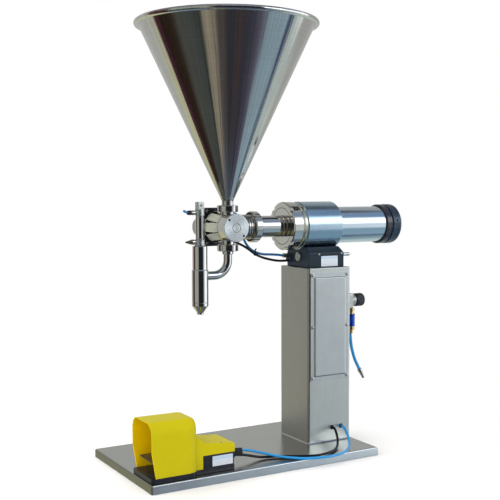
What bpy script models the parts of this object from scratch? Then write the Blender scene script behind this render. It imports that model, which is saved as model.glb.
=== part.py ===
# Piston liquid filler, bench model: a base tray carries a column, a control box
# and a horizontal cylinder; valve, hopper and nozzle hang on the cylinder's -X
# end, and a foot pedal stands on the tray.
# Metres, +Z up.  Origin: centre of the base tray's footprint, on the ground.
# +X runs from the filling nozzle to the volume knob, +Y to the valve actuator.
# All dimensions below are in millimetres.
import bpy
import bmesh
from math import acos, cos, pi, radians, sin, tan
from mathutils import Matrix, Vector

# ---------------------------------------------------------------- shared dimensions
GAP = 0.3                      # running or assembly gap between pieces

BASE_LENGTH, BASE_WIDTH, BASE_HEIGHT = 600.0, 338.0, 20.0
BASE_SHEET, BASE_RETURN = 2.0, 16.0

COLUMN_X0, COLUMN_X1, COLUMN_HALF = 166.5, 292.5, 64.5
COLUMN_TOP, COLUMN_WALL, COLUMN_CORNER = 455.0, 3.0, 5.0

BOX_X0, BOX_X1, BOX_Y0, BOX_Y1 = 174.6, 280.0, -54.0, 46.0
BOX_TOP, BOX_SHOULDER = 506.0, 491.5
BOX_BOSS = 4.5                 # how far the hose boss stands out of the box
BOX_BLUE_HOSE = (38.5, 482.0)  # (y, z) of the hoses on the control box
BOX_BLACK_HOSE = (33.0, 469.0)
SPEED_SCREW = (-10.0, 481.5)   # (y, z)

AXIS_Z = 557.7                 # height of the cylinder axis
CYLINDER_AXIS = (0.0, AXIS_Z)  # (y, z)
TUBE_R, TUBE_BORE = 26.4, 24.0
HOUSING_R, HOUSING_X0, HOUSING_X1 = 60.0, 161.8, 276.0
BARREL_R, BARREL_BORE, BARREL_X1 = 46.0, 42.0, 420.8
COLLAR_R, COLLAR_X1 = 51.0, 437.4
KNOB_R, KNOB_X0, KNOB_X1 = 51.5, 440.4, 470.0
KNOB_HOLE_X = 452.0
ROD_R = 10.0

VALVE_X = -22.8
VALVE_AXIS = (VALVE_X, AXIS_Z)  # (x, z)
VALVE_R, ROTOR_R = 33.0, 26.0
VALVE_SEGMENTS = 26            # facets of the valve body, its bore, cover and rotor
PORT_X = -22.0
PORT_AXIS = (PORT_X, 0.0)      # (x, y)

ACTUATOR_Y = 70.0
ACTUATOR_LOWER_PORT = (62.0, 521.0)  # (y, z)
ACTUATOR_UPPER_PORT = (60.0, 592.0)

NOZZLE_X = -96.5
NOZZLE_AXIS = (NOZZLE_X, 0.0)  # (x, y)

REGULATOR_AXIS = (-15.0, 363.5)  # (y, z)
SLIDE_VALVE_X = 328.6

PEDAL_Y = -109.0               # centre plane of the foot pedal
PEDAL_PIVOT = (-204.0, 50.0)   # (x, z)
PLUNGER_X = -228.0
PEDAL_BLUE_Z, PEDAL_BLACK_Z = 50.0, 41.0   # heights of the hoses at the pedal

# (x, z) of the cable holes in the column's -Y wall
CABLE_HOLES = {"black": (237.5, 54.5), "blue": (264.5, 55.0)}
HOSE_R = 3.0

# ---------------------------------------------------------------- clean start
for old_object in list(bpy.data.objects):
    bpy.data.objects.remove(old_object, do_unlink=True)


# ---------------------------------------------------------------- materials
def material(name, color, roughness, metallic):
    mat = bpy.data.materials.new(name)
    mat.use_nodes = True
    shader = mat.node_tree.nodes["Principled BSDF"]
    shader.inputs["Base Color"].default_value = (*color, 1.0)
    shader.inputs["Roughness"].default_value = roughness
    shader.inputs["Metallic"].default_value = metallic
    mat.diffuse_color = (*color, 1.0)
    return mat


STEEL = material("stainless_brushed", color=(0.50, 0.50, 0.48), roughness=0.35, metallic=1.0)
POLISHED = material("stainless_polished", color=(0.62, 0.61, 0.58), roughness=0.12, metallic=1.0)
MIRROR = material("stainless_mirror", color=(0.58, 0.57, 0.55), roughness=0.06, metallic=1.0)
ANODISED = material("anodised_blue_grey", color=(0.22, 0.29, 0.36), roughness=0.32, metallic=1.0)
ALUMINIUM = material("turned_aluminium", color=(0.62, 0.64, 0.64), roughness=0.3, metallic=1.0)
BLACK = material("black_anodised", color=(0.02, 0.022, 0.025), roughness=0.4, metallic=0.2)
SLATE = material("black_plastic_box", color=(0.03, 0.036, 0.042), roughness=0.35, metallic=0.0)
RUBBER = material("black_rubber", color=(0.015, 0.015, 0.016), roughness=0.6, metallic=0.0)
BLUE_HOSE = material("blue_hose", color=(0.01, 0.2, 0.6), roughness=0.3, metallic=0.0)
BLACK_HOSE = material("black_hose", color=(0.012, 0.012, 0.014), roughness=0.35, metallic=0.0)
YELLOW = material("yellow_plastic", color=(0.56, 0.5, 0.0), roughness=0.4, metallic=0.0)
GREY = material("grey_cast", color=(0.3, 0.31, 0.31), roughness=0.45, metallic=0.3)
BLUE_SLEEVE = material("blue_anodised", color=(0.01, 0.05, 0.4), roughness=0.3, metallic=0.6)
BRASS = material("brass", color=(0.6, 0.42, 0.16), roughness=0.3, metallic=1.0)
SEAL = material("white_seal_plastic", color=(0.8, 0.8, 0.78), roughness=0.5, metallic=0.0)

CUTTER = ("cutter", None)      # name and material of a boolean tool


# ---------------------------------------------------------------- outlines
def metres(x, y, z):
    return Vector((x * 0.001, y * 0.001, z * 0.001))


def arc(centre_u, centre_v, radius, start, end, steps):
    """Flat points along an arc; angles in degrees."""
    angles = [radians(start + (end - start) * i / steps) for i in range(steps + 1)]
    return [(centre_u + radius * cos(a), centre_v + radius * sin(a)) for a in angles]


def rounded_rectangle(u0, u1, v0, v1, radius, corner_steps=3):
    r = radius
    corners = ((u1 - r, v1 - r, 0), (u0 + r, v1 - r, 90),
               (u0 + r, v0 + r, 180), (u1 - r, v0 + r, 270))
    points = []
    for u, v, start in corners:
        points += arc(u, v, r, start, start + 90.0, corner_steps)
    return points


def station(points, axis, level):
    """Set flat points across an axis: (y, z) for X, (x, z) for Y, (x, y) for Z."""
    if axis == "X":
        return [(level, u, v) for u, v in points]
    if axis == "Y":
        return [(u, level, v) for u, v in points]
    return [(u, v, level) for u, v in points]


def smooth_path(points, step):
    """Catmull-Rom curve through points, sampled about every step millimetres."""
    knots = [Vector(p) for p in points]
    knots = [knots[0] * 2 - knots[1]] + knots + [knots[-1] * 2 - knots[-2]]
    path = []
    for i in range(1, len(knots) - 2):
        p0, p1, p2, p3 = knots[i - 1:i + 3]
        count = max(1, int(round((p2 - p1).length / step)))
        for j in range(count):
            t = j / count
            path.append(0.5 * ((2 * p1) + (p2 - p0) * t
                               + (2 * p0 - 5 * p1 + 4 * p2 - p3) * t * t
                               + (3 * p1 - p0 - 3 * p2 + p3) * t * t * t))
    path.append(knots[-2].copy())
    return path


# ---------------------------------------------------------------- solids
def new_object(bm, name, mat):
    """Merge doubles, turn the faces outward and link the mesh as an object."""
    bmesh.ops.remove_doubles(bm, verts=bm.verts, dist=2e-6)
    bmesh.ops.recalc_face_normals(bm, faces=bm.faces)
    if bm.calc_volume(signed=True) < 0:
        bmesh.ops.reverse_faces(bm, faces=bm.faces)
    mesh = bpy.data.meshes.new(name)
    bm.to_mesh(mesh)
    bm.free()
    ob = bpy.data.objects.new(name, mesh)
    bpy.context.collection.objects.link(ob)
    if mat is not None:
        mesh.materials.append(mat)
    return ob


def polar_point(axis, centre, radius, angle, height):
    """Point around an axis; centre is (y, z) for X, (x, z) for Y, (x, y) for Z."""
    u, v = centre
    if axis == "X":
        return metres(height, u + radius * cos(angle), v + radius * sin(angle))
    if axis == "Y":
        return metres(u + radius * sin(angle), height, v + radius * cos(angle))
    return metres(u + radius * cos(angle), v + radius * sin(angle), height)


def lathe(name, mat, axis, centre, profile, segments, half_step=False):
    """Closed profile [(radius, height along the axis), ...] turned about an axis.
    Where it meets the axis it closes with a flat disc or a point.
    half_step turns the facets by half a segment."""
    start = pi / segments if half_step else 0.0
    around = [start + 2 * pi * i / segments for i in range(segments)]
    bm = bmesh.new()
    rings = [[bm.verts.new(polar_point(axis, centre, radius, angle, height))
              for angle in (around if radius else [0.0])] for radius, height in profile]
    for k in range(len(profile)):
        after = (k + 1) % len(profile)
        ring, other = rings[k], rings[after]
        if len(ring) == 1 and len(other) == 1:
            continue
        if len(ring) == 1 or len(other) == 1:
            tip, rim = (ring, other) if len(ring) == 1 else (other, ring)
            if profile[k][1] == profile[after][1]:
                bm.faces.new(rim)
                bm.verts.remove(tip[0])
            else:
                for i in range(segments):
                    bm.faces.new((tip[0], rim[i], rim[(i + 1) % segments]))
            continue
        for i in range(segments):
            j = (i + 1) % segments
            bm.faces.new((ring[i], ring[j], other[j], other[i]))
    return new_object(bm, name, mat)


def loft(name, mat, rings):
    """Skin rings with equal point counts and cap both ends."""
    bm = bmesh.new()
    loops = [[bm.verts.new(metres(*point)) for point in ring] for ring in rings]
    count = len(loops[0])
    for lower, upper in zip(loops, loops[1:]):
        for i in range(count):
            j = (i + 1) % count
            bm.faces.new((lower[i], lower[j], upper[j], upper[i]))
    bm.faces.new(loops[0])
    bm.faces.new(loops[-1])
    return new_object(bm, name, mat)


def prism(name, mat, points, axis, start, end):
    """Flat outline extruded along an axis."""
    return loft(name, mat, [station(points, axis, start), station(points, axis, end)])


def rounded_solid(name, mat, axis, outline, steps, corner_steps):
    """Loft insets of a rounded rectangle (u0, u1, v0, v1) along an axis.
    steps: (inset, corner radius, level)."""
    u0, u1, v0, v1 = outline
    return loft(name, mat, [
        station(rounded_rectangle(u0 + inset, u1 - inset, v0 + inset, v1 - inset, radius,
                                  corner_steps), axis, level)
        for inset, radius, level in steps])


def block(name, mat, outline, z0, z1, radius, chamfer):
    """Upright block with rounded vertical edges and a chamfered top edge."""
    steps = [(0.0, radius, z0), (0.0, radius, z1 - chamfer), (chamfer, radius - chamfer, z1)]
    return rounded_solid(name, mat, "Z", outline, steps, 2)


def sweep(name, mat, path, radius, segments):
    """Solid round bar along a list of points."""
    points = [Vector(p) for p in path]
    last = len(points) - 1
    tangent = (points[1] - points[0]).normalized()
    up = Vector((0, 0, 1)) if abs(tangent.z) < 0.9 else Vector((0, 1, 0))
    side = tangent.cross(up).normalized()
    angles = [2 * pi * k / segments for k in range(segments)]
    rings = []
    for i, point in enumerate(points):
        tangent = (points[min(i + 1, last)] - points[max(i - 1, 0)]).normalized()
        side = (side - tangent * side.dot(tangent)).normalized()
        other = tangent.cross(side)
        rings.append([tuple(point + side * (radius * cos(a)) + other * (radius * sin(a)))
                      for a in angles])
    return loft(name, mat, rings)


def box_cutter(x0, x1, y0, y1, z0, z1):
    bm = bmesh.new()
    bmesh.ops.create_cube(bm, size=1.0)
    for v in bm.verts:
        v.co = metres((x0 + x1) / 2 + v.co.x * (x1 - x0), (y0 + y1) / 2 + v.co.y * (y1 - y0),
                      (z0 + z1) / 2 + v.co.z * (z1 - z0))
    return new_object(bm, *CUTTER)


def cylinder(axis, centre, radius, start, end, segments, half_step=False):
    profile = [(0.0, start), (radius, start), (radius, end), (0.0, end)]
    return lathe(*CUTTER, axis, centre, profile, segments, half_step)


# ---------------------------------------------------------------- booleans
def combine(body, tool, operation):
    """Apply a boolean to body as plain mesh and remove the tool."""
    mod = body.modifiers.new("cut", "BOOLEAN")
    mod.operation = operation
    mod.solver = "EXACT"
    mod.object = tool
    bpy.context.view_layer.update()
    depsgraph = bpy.context.evaluated_depsgraph_get()
    mesh = bpy.data.meshes.new_from_object(body.evaluated_get(depsgraph))
    body.modifiers.clear()
    old = body.data
    body.data = mesh
    mesh.materials.clear()
    mesh.materials.append(old.materials[0])
    for polygon in mesh.polygons:
        polygon.material_index = 0
    bpy.data.meshes.remove(old)
    bpy.data.objects.remove(tool, do_unlink=True)
    bm = bmesh.new()
    bm.from_mesh(mesh)
    bmesh.ops.remove_doubles(bm, verts=bm.verts, dist=3e-6)
    bmesh.ops.dissolve_degenerate(bm, dist=2e-6, edges=bm.edges)
    bm.to_mesh(mesh)
    bm.free()


def cut(body, tool):
    combine(body, tool, "DIFFERENCE")


def join(body, tool):
    combine(body, tool, "UNION")


def drill(body, *cylinder_args):
    cut(body, cylinder(*cylinder_args))


def add_cylinder(body, *cylinder_args):
    join(body, cylinder(*cylinder_args))


# ================================================================ base and column
COVER_X0, COVER_X1, COVER_Z0, COVER_Z1 = 172.0, 286.0, 176.5, 443.0
COVER_BACK = -COLUMN_HALF - GAP      # y of the cover's face towards the column
COVER_SHEET = 1.7
COVER_SCREW_X = (177.8, 280.2)
COVER_SCREW_Z = (183.0, 309.7, 437.0)
COVER_HOLE_R = 2.3


def build_base():
    sheet, inner = BASE_SHEET, BASE_RETURN
    half_x, half_y = BASE_LENGTH / 2, BASE_WIDTH / 2
    steps = [                       # from the underside of the deck round to its top
        (sheet + 1, 2.0, BASE_HEIGHT - sheet), (sheet, 2.0, BASE_HEIGHT - sheet - 1),
        (sheet, 2.0, sheet), (inner, 2.0, sheet), (inner, 2.0, 0.0), (0.8, 3.2, 0.0),
        (0.0, 4.0, 0.8), (0.0, 4.0, BASE_HEIGHT - 1.2), (1.2, 2.8, BASE_HEIGHT)]
    base = rounded_solid("base_plate", STEEL, "Z", (-half_x, half_x, -half_y, half_y), steps, 3)
    # angle stiffener under the deck, level with the returns, so the tray also rests at its middle
    foot_half = 20.0
    end = half_y - inner - 3.0
    top = BASE_HEIGHT - sheet + 0.5
    angle = [(-foot_half, 0.0), (foot_half, 0.0), (foot_half, sheet),
             (-foot_half + sheet, sheet), (-foot_half + sheet, top), (-foot_half, top)]
    join(base, prism(*CUTTER, angle, "Y", -end, end))


def drill_cover_screws(part, start, end):
    for x in COVER_SCREW_X:
        for z in COVER_SCREW_Z:
            drill(part, "Y", (x, z), COVER_HOLE_R, start, end, 6)


def build_column():
    """Hollow column, open below, its -Y wall pierced behind the access cover."""
    foot = BASE_HEIGHT + GAP
    wall = COLUMN_WALL
    steps = [(wall, 2.5, COLUMN_TOP - wall), (wall, 2.5, foot), (0.0, COLUMN_CORNER, foot),
             (0.0, COLUMN_CORNER, COLUMN_TOP - 1.0), (1.0, COLUMN_CORNER - 1.0, COLUMN_TOP)]
    column = rounded_solid("column", STEEL, "Z",
                           (COLUMN_X0, COLUMN_X1, -COLUMN_HALF, COLUMN_HALF), steps, 3)
    outside, inside = -COLUMN_HALF - 4, -COLUMN_HALF + wall + 4
    cut(column, box_cutter(188, 270, -COLUMN_HALF - 5, inside, 196, 424))
    drill_cover_screws(column, outside, inside)
    for centre in CABLE_HOLES.values():
        drill(column, "Y", centre, 5.2, outside, inside, 10)
    drill(column, "Z", (225, 0), 9.0, COLUMN_TOP - wall - 4, COLUMN_TOP + 4, 10)
    drill(column, "X", REGULATOR_AXIS, 5.3, COLUMN_X1 - wall - 4, COLUMN_X1 + 4, 10)


def build_cover():
    """Bolted access cover: flat flange with a raised, hollow centre."""
    steps = [                       # inset in x, inset in z, corner radius, distance out
        (13.5, 13.0, 1.0, 3.2), (11.5, 11.0, 1.0, 0.0), (0.0, 0.0, 3.0, 0.0),
        (0.0, 0.0, 3.0, 1.2), (0.5, 0.5, 2.5, COVER_SHEET), (10.6, 9.5, 1.5, COVER_SHEET),
        (13.0, 12.5, 1.5, 4.7)]
    cover = loft("access_cover", STEEL, [
        station(rounded_rectangle(COVER_X0 + in_x, COVER_X1 - in_x, COVER_Z0 + in_z,
                                  COVER_Z1 - in_z, radius, 2), "Y", COVER_BACK - out)
        for in_x, in_z, radius, out in steps])
    drill_cover_screws(cover, COVER_BACK - 6, COVER_BACK + 3)


def build_cover_screws():
    seat = COVER_BACK - COVER_SHEET - GAP
    profile = [(0.0, seat - 2.4), (3.0, seat - 2.0), (4.0, seat), (2.0, seat),
               (2.0, seat + 9.0), (0.0, seat + 9.0)]
    places = [(x, z) for z in COVER_SCREW_Z for x in COVER_SCREW_X]
    for number, centre in enumerate(places, 1):
        lathe("cover_screw_%d" % number, POLISHED, "Y", centre, profile, 6)


def build_grommets():
    y = -COLUMN_HALF - GAP
    profile = [(3.7, y - 2.2), (6.0, y - 2.2), (7.4, y - 1.2), (7.4, y), (4.8, y),
               (4.8, y + 5.5), (3.7, y + 5.5)]
    for color, centre in CABLE_HOLES.items():
        lathe("cable_grommet_" + color, RUBBER, "Y", centre, profile, 10)


# ================================================================ control box
BOX_FITTING_X = BOX_X0 - BOX_BOSS - GAP    # seat of the blue hose fitting


def build_box():
    """Box on the column top, open below, saddled for the cylinder housing."""
    foot = COLUMN_TOP + GAP
    slope = 12.0                    # width of the sloped top edges
    wall = 5.0
    outline = [(BOX_Y0, foot), (BOX_Y1, foot), (BOX_Y1, BOX_SHOULDER), (BOX_Y1 - slope, BOX_TOP),
               (BOX_Y0 + slope, BOX_TOP), (BOX_Y0, BOX_SHOULDER)]
    box = prism("control_box", SLATE, outline, "X", BOX_X0, BOX_X1)
    # slope the +X top edge
    wedge = [(BOX_X1 - 9.0, BOX_TOP + 2), (BOX_X1 + 8, BOX_TOP + 2),
             (BOX_X1 + 8, BOX_SHOULDER - 8), (BOX_X1, BOX_SHOULDER)]
    cut(box, prism(*CUTTER, wedge, "Y", BOX_Y0 - 5, BOX_Y1 + 5))
    # round boss the hoses come through
    add_cylinder(box, "X", (34.0, 475.5), 11.5, BOX_X0 - BOX_BOSS, BOX_X0 + 6, 14)
    # saddle for the housing
    drill(box, "X", CYLINDER_AXIS, HOUSING_R + GAP, BOX_X0 - 20, BOX_X1 + 20, 44, True)
    # hollow
    cut(box, box_cutter(BOX_X0 + wall, BOX_X1 - wall, BOX_Y0 + wall, BOX_Y1 - wall,
                        foot - 5, 487.0))
    drill(box, "X", SPEED_SCREW, 4.3, BOX_X0 - 6, BOX_X0 + 9, 10)
    drill(box, "X", BOX_BLACK_HOSE, 3.4, BOX_X0 - 10, BOX_X0 + 9, 8)


def build_exhaust_fitting():
    x = BOX_X1 + GAP
    lathe("exhaust_fitting", ALUMINIUM, "X", (-36.0, 484.5),
          [(0.0, x), (4.6, x), (4.6, x + 6), (3.6, x + 6.5), (3.6, x + 9), (4.6, x + 9.5),
           (4.6, x + 26), (3.4, x + 30), (2.0, x + 32), (0.0, x + 32)], 10)


def build_speed_screw():
    """Slotted flow-control screw, turns on X."""
    x = BOX_X0 - GAP
    y, z = SPEED_SCREW
    slot_half = 1.1
    screw = lathe("speed_control_screw", ALUMINIUM, "X", SPEED_SCREW,
                  [(0.0, x - 5.0), (9.6, x - 5.0), (11.0, x - 4.0), (11.0, x), (4.0, x),
                   (4.0, x + 11.0), (0.0, x + 11.0)], 14)
    cut(screw, box_cutter(x - 7, x - 3.4, y - 14, y + 14, z - slot_half, z + slot_half))


def build_box_hose_fitting():
    """Straight fitting for the blue hose."""
    x = BOX_FITTING_X
    lathe("box_hose_fitting", POLISHED, "X", BOX_BLUE_HOSE,
          [(3.3, x - 12.0), (5.6, x - 12.0), (6.0, x - 11.0), (6.0, x - 7.0), (4.8, x - 6.4),
           (4.8, x - 4.6), (5.4, x - 4.0), (5.4, x), (3.3, x)], 10)


# ================================================================ cylinder group
ROD_BORE = ROD_R + 0.15
TUBE_CLEARANCE = TUBE_R + GAP        # bore that passes over the product tube
PRODUCT_PISTON_X1 = 80.0
AIR_PISTON_X0, AIR_PISTON_X1 = 282.0, 300.0
RING_NUT_R, UNION_NUT_R = 59.5, 37.7


def turned_on_x(name, mat, profile, segments, half_step=False):
    """Part turned about the cylinder axis; profile is (radius, x)."""
    return lathe(name, mat, "X", CYLINDER_AXIS, profile, segments, half_step)


def slot_on_x(part, x, radius, half_length, half_width, depth):
    """Four slots along X at the diagonals of a ring's rim."""
    for k in range(4):
        angle = pi / 4 + k * pi / 2
        tool = box_cutter(-half_length, half_length, -half_width, half_width, -depth, 4)
        centre = metres(x, radius * cos(angle), AXIS_Z + radius * sin(angle))
        tool.matrix_world = Matrix.Translation(centre) @ Matrix.Rotation(angle - pi / 2, 4, "X")
        cut(part, tool)


def build_housing():
    """Housing with a spigot at -X, rod guide walls and a hollow middle."""
    turned_on_x("cylinder_housing", ANODISED, [
        (ROD_BORE, 163.2), (TUBE_CLEARANCE, 163.2), (TUBE_CLEARANCE, 150.6), (49.5, 150.6),
        (49.5, HOUSING_X0), (56.0, HOUSING_X0), (57.0, 171.6), (HOUSING_R, 172.4),
        (HOUSING_R, HOUSING_X1 - 3.0), (HOUSING_R - 3.0, HOUSING_X1), (ROD_BORE, HOUSING_X1),
        (ROD_BORE, 262.0), (50.0, 262.0), (50.0, 182.0), (ROD_BORE, 182.0)], 32, True)


def build_barrel():
    x = HOUSING_X1 + GAP
    turned_on_x("rear_barrel", ALUMINIUM, [
        (BARREL_BORE, x), (BARREL_R, x), (BARREL_R, BARREL_X1), (BARREL_BORE, BARREL_X1)], 26)


def build_collar():
    """End collar with a spigot in the barrel."""
    x = BARREL_X1 + GAP
    spigot_r = BARREL_BORE - GAP
    turned_on_x("end_collar", BLACK, [
        (10.4, x - 6.0), (spigot_r, x - 6.0), (spigot_r, x), (COLLAR_R, x),
        (COLLAR_R, COLLAR_X1 - 0.8), (COLLAR_R - 0.8, COLLAR_X1), (18.3, COLLAR_X1),
        (18.3, 430.0), (10.4, 430.0)], 26)


def build_volume_knob():
    """Knob that turns on X, hollow for the stop screw."""
    knob = turned_on_x("volume_knob", BLACK, [
        (10.5, 430.4), (18.0, 430.4), (18.0, KNOB_X0), (KNOB_R - 1.0, KNOB_X0),
        (KNOB_R, KNOB_X0 + 1.0), (KNOB_R, 463.0), (KNOB_R - 2.3, 467.7),
        (KNOB_R - 7.0, KNOB_X1), (0.0, KNOB_X1), (0.0, 466.5), (10.5, 466.5)], 26)
    drill(knob, "Y", (KNOB_HOLE_X, AXIS_Z), 3.2, -KNOB_R - 3, -KNOB_R + 6, 8)


def build_sliding_parts():
    """Stop screw, air piston, rod and product piston; all slide on X."""
    turned_on_x("stop_screw", STEEL, [
        (0.0, 381.0), (22.0, 381.0), (22.0, 389.0), (10.0, 389.0), (10.0, 446.0),
        (0.0, 446.0)], 14)
    x0, x1 = AIR_PISTON_X0, AIR_PISTON_X1
    turned_on_x("air_piston", ALUMINIUM, [
        (6.5, x0), (40.6, x0), (41.9, x0 + 1.0), (41.9, x1 - 1.0), (40.6, x1), (6.5, x1)], 26)
    shoulder0, shoulder1 = PRODUCT_PISTON_X1 + GAP, AIR_PISTON_X0 - GAP
    turned_on_x("piston_rod", POLISHED, [
        (0.0, 72.0), (6.0, 72.0), (6.0, shoulder0), (ROD_R, shoulder0), (ROD_R, shoulder1),
        (6.0, shoulder1), (6.0, 299.0), (0.0, 299.0)], 14)
    x1 = PRODUCT_PISTON_X1
    turned_on_x("product_piston", SEAL, [
        (0.0, 66.0), (20.0, 66.0), (TUBE_BORE - 0.1, 68.0), (TUBE_BORE - 0.1, x1 - 1.0),
        (22.5, x1), (6.5, x1), (6.5, 71.6), (0.0, 71.6)], 20)


def build_product_tube():
    """Product tube with a ferrule at -X and a flange near +X."""
    turned_on_x("product_cylinder", POLISHED, [
        (TUBE_BORE, 46.6), (33.0, 46.6), (33.0, 50.4), (30.0, 50.4), (30.0, 62.0),
        (TUBE_R, 62.0), (TUBE_R, 138.5), (44.0, 138.5), (44.0, 150.2), (TUBE_R, 150.2),
        (TUBE_R, 162.8), (TUBE_BORE, 162.8)], 20)


def build_ring_nut():
    """Big slotted ring nut over the tube's flange and the housing's spigot."""
    nut = turned_on_x("front_ring_nut", MIRROR, [
        (TUBE_CLEARANCE, 130.2), (57.0, 130.2), (RING_NUT_R, 132.4), (RING_NUT_R, 156.8),
        (58.0, 158.2), (49.9, 158.2), (49.9, 138.1), (TUBE_CLEARANCE, 138.1)], 32, True)
    slot_on_x(nut, 144.0, RING_NUT_R, half_length=9, half_width=3.2, depth=4)


def build_cylinder_union_nut():
    """Slotted union nut between valve and product tube."""
    nut = turned_on_x("cylinder_union_nut", POLISHED, [
        (29.8, 41.0), (36.2, 41.0), (UNION_NUT_R, 42.5), (UNION_NUT_R, 55.5), (36.2, 57.0),
        (30.3, 57.0), (30.3, 50.9), (33.4, 50.9), (33.4, 46.3), (29.8, 46.3)], 20)
    slot_on_x(nut, 49.0, UNION_NUT_R, half_length=14, half_width=3.6, depth=2.6)


# ================================================================ valve and hopper
PASSAGE_R = 12.0                     # rotor passage and hopper port


def build_valve_body():
    body = lathe("valve_body", POLISHED, "Y", VALVE_AXIS,
                 [(0.0, -39.7), (VALVE_R - 1.0, -39.7), (VALVE_R, -38.7), (VALVE_R, 24.0),
                  (37.0, 24.6), (37.0, 46.2), (36.2, 47.0), (0.0, 47.0)], VALVE_SEGMENTS, True)
    # ports: +X to the cylinder, up to the hopper, down to the nozzle
    add_cylinder(body, "X", CYLINDER_AXIS, 29.5, VALVE_X + 6, 46.2, 20)
    join(body, lathe(*CUTTER, "Z", PORT_AXIS, [
        (0.0, AXIS_Z + 8), (16.3, AXIS_Z + 8), (16.3, 595.0), (20.0, 595.0), (20.0, 602.6),
        (0.0, 602.6)], 18))
    join(body, lathe(*CUTTER, "Z", PORT_AXIS, [
        (0.0, 509.6), (20.0, 509.6), (20.0, 517.2), (15.6, 517.2), (15.6, AXIS_Z - 8),
        (0.0, AXIS_Z - 8)], 18))
    # rotor bore, sized over its corners so that the flats have the running clearance
    bore = (ROTOR_R + 0.05) / cos(pi / VALVE_SEGMENTS)
    drill(body, "Y", VALVE_AXIS, bore, -48, 40.6, VALVE_SEGMENTS, True)
    drill(body, "Y", VALVE_AXIS, 8.3, 36, 55, 12)
    drill(body, "X", CYLINDER_AXIS, 20.0, VALVE_X, 55, 18)
    drill(body, "Z", PORT_AXIS, PASSAGE_R, AXIS_Z, 615, 14)
    drill(body, "Z", PORT_AXIS, 9.0, 500, AXIS_Z, 14)


def build_valve_cover():
    """Disc that closes the valve at -Y, with two blind holes on a diagonal."""
    hole_circle_r = 27.0
    cover = lathe("valve_cover", ALUMINIUM, "Y", VALVE_AXIS,
                  [(0.0, -46.0), (32.7, -46.0), (33.5, -45.2), (33.5, -40.0), (24.5, -40.0),
                   (24.5, -37.0), (0.0, -37.0)], VALVE_SEGMENTS, True)
    for angle in (radians(135), radians(-45)):
        centre = (VALVE_X + hole_circle_r * cos(angle), AXIS_Z + hole_circle_r * sin(angle))
        drill(cover, "Y", centre, 2.6, -48, -43.4, 8)


def build_valve_rotor():
    """Rotor with an L-shaped passage and its shaft, turns on Y."""
    rotor = lathe("valve_rotor", POLISHED, "Y", VALVE_AXIS,
                  [(0.0, -36.6), (ROTOR_R, -36.6), (ROTOR_R, 40.2), (7.9, 40.2), (7.9, 51.4),
                   (0.0, 51.4)], VALVE_SEGMENTS, True)
    drill(rotor, "Z", (VALVE_X, 0.0), PASSAGE_R, AXIS_Z - 6.0, AXIS_Z + 40, 14)
    drill(rotor, "X", CYLINDER_AXIS, PASSAGE_R, VALVE_X - 6.0, VALVE_X + 40, 14)


def build_port_nut(name, middle_z, profile):
    """Union nut on a vertical port, with four slots in its rim."""
    slot_r = 25.7
    nut = lathe(name, POLISHED, "Z", PORT_AXIS, profile, 18)
    for k in range(4):
        angle = radians(20) + k * pi / 2
        tool = box_cutter(-2.2, 3, -3.0, 3.0, -12, 12)
        centre = metres(PORT_X + slot_r * cos(angle), slot_r * sin(angle), middle_z)
        tool.matrix_world = Matrix.Translation(centre) @ Matrix.Rotation(angle, 4, "Z")
        cut(nut, tool)


def build_port_nuts():
    z0, z1 = 594.3, 610.7
    build_port_nut("hopper_union_nut", (z0 + z1) / 2, [
        (20.3, z0), (24.5, z0), (25.7, 595.5), (25.7, 609.5), (24.5, z1), (14.6, z1),
        (14.6, 606.6), (20.3, 606.6)])
    z0, z1 = 500.9, 517.9
    build_port_nut("outlet_union_nut", (z0 + z1) / 2, [
        (13.8, z0), (24.5, z0), (25.6, 502.1), (25.6, 516.7), (24.5, z1), (20.3, z1),
        (20.3, 505.5), (13.8, 505.5)])


def build_hopper():
    """Sheet cone with a flanged neck and a rolled rim."""
    foot, cone_z0, cone_z1 = 602.9, 622.0, 1028.0
    neck_r, cone_r, sheet = 14.2, 206.0, 1.6
    rim_r, rim_z, roll_r = 212.5, 1036.0, 6.2
    profile = [(neck_r - sheet, foot), (19.8, foot), (19.8, 606.2), (neck_r, 606.2),
               (neck_r, cone_z0), (cone_r, cone_z1)]
    profile += arc(rim_r, rim_z, roll_r, -110, 140, 6)
    profile += [(cone_r - sheet, cone_z1 + 1.0), (neck_r - sheet, cone_z0 + 1.0)]
    lathe("hopper", MIRROR, "Z", PORT_AXIS, profile, 32, True)


# ================================================================ valve actuator
GEAR_MODULE, PINION_TEETH = 1.5, 12
PRESSURE_ANGLE = radians(25.0)
TOOTH_THINNING = 0.10                # taken off each flank at the pitch line
TOOTH_ADDENDUM = 0.9 * GEAR_MODULE
PITCH_R = GEAR_MODULE * PINION_TEETH / 2.0
RACK_FACE = (ACTUATOR_Y - 5.0, ACTUATOR_Y + 5.0)   # y of both gear faces


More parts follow.
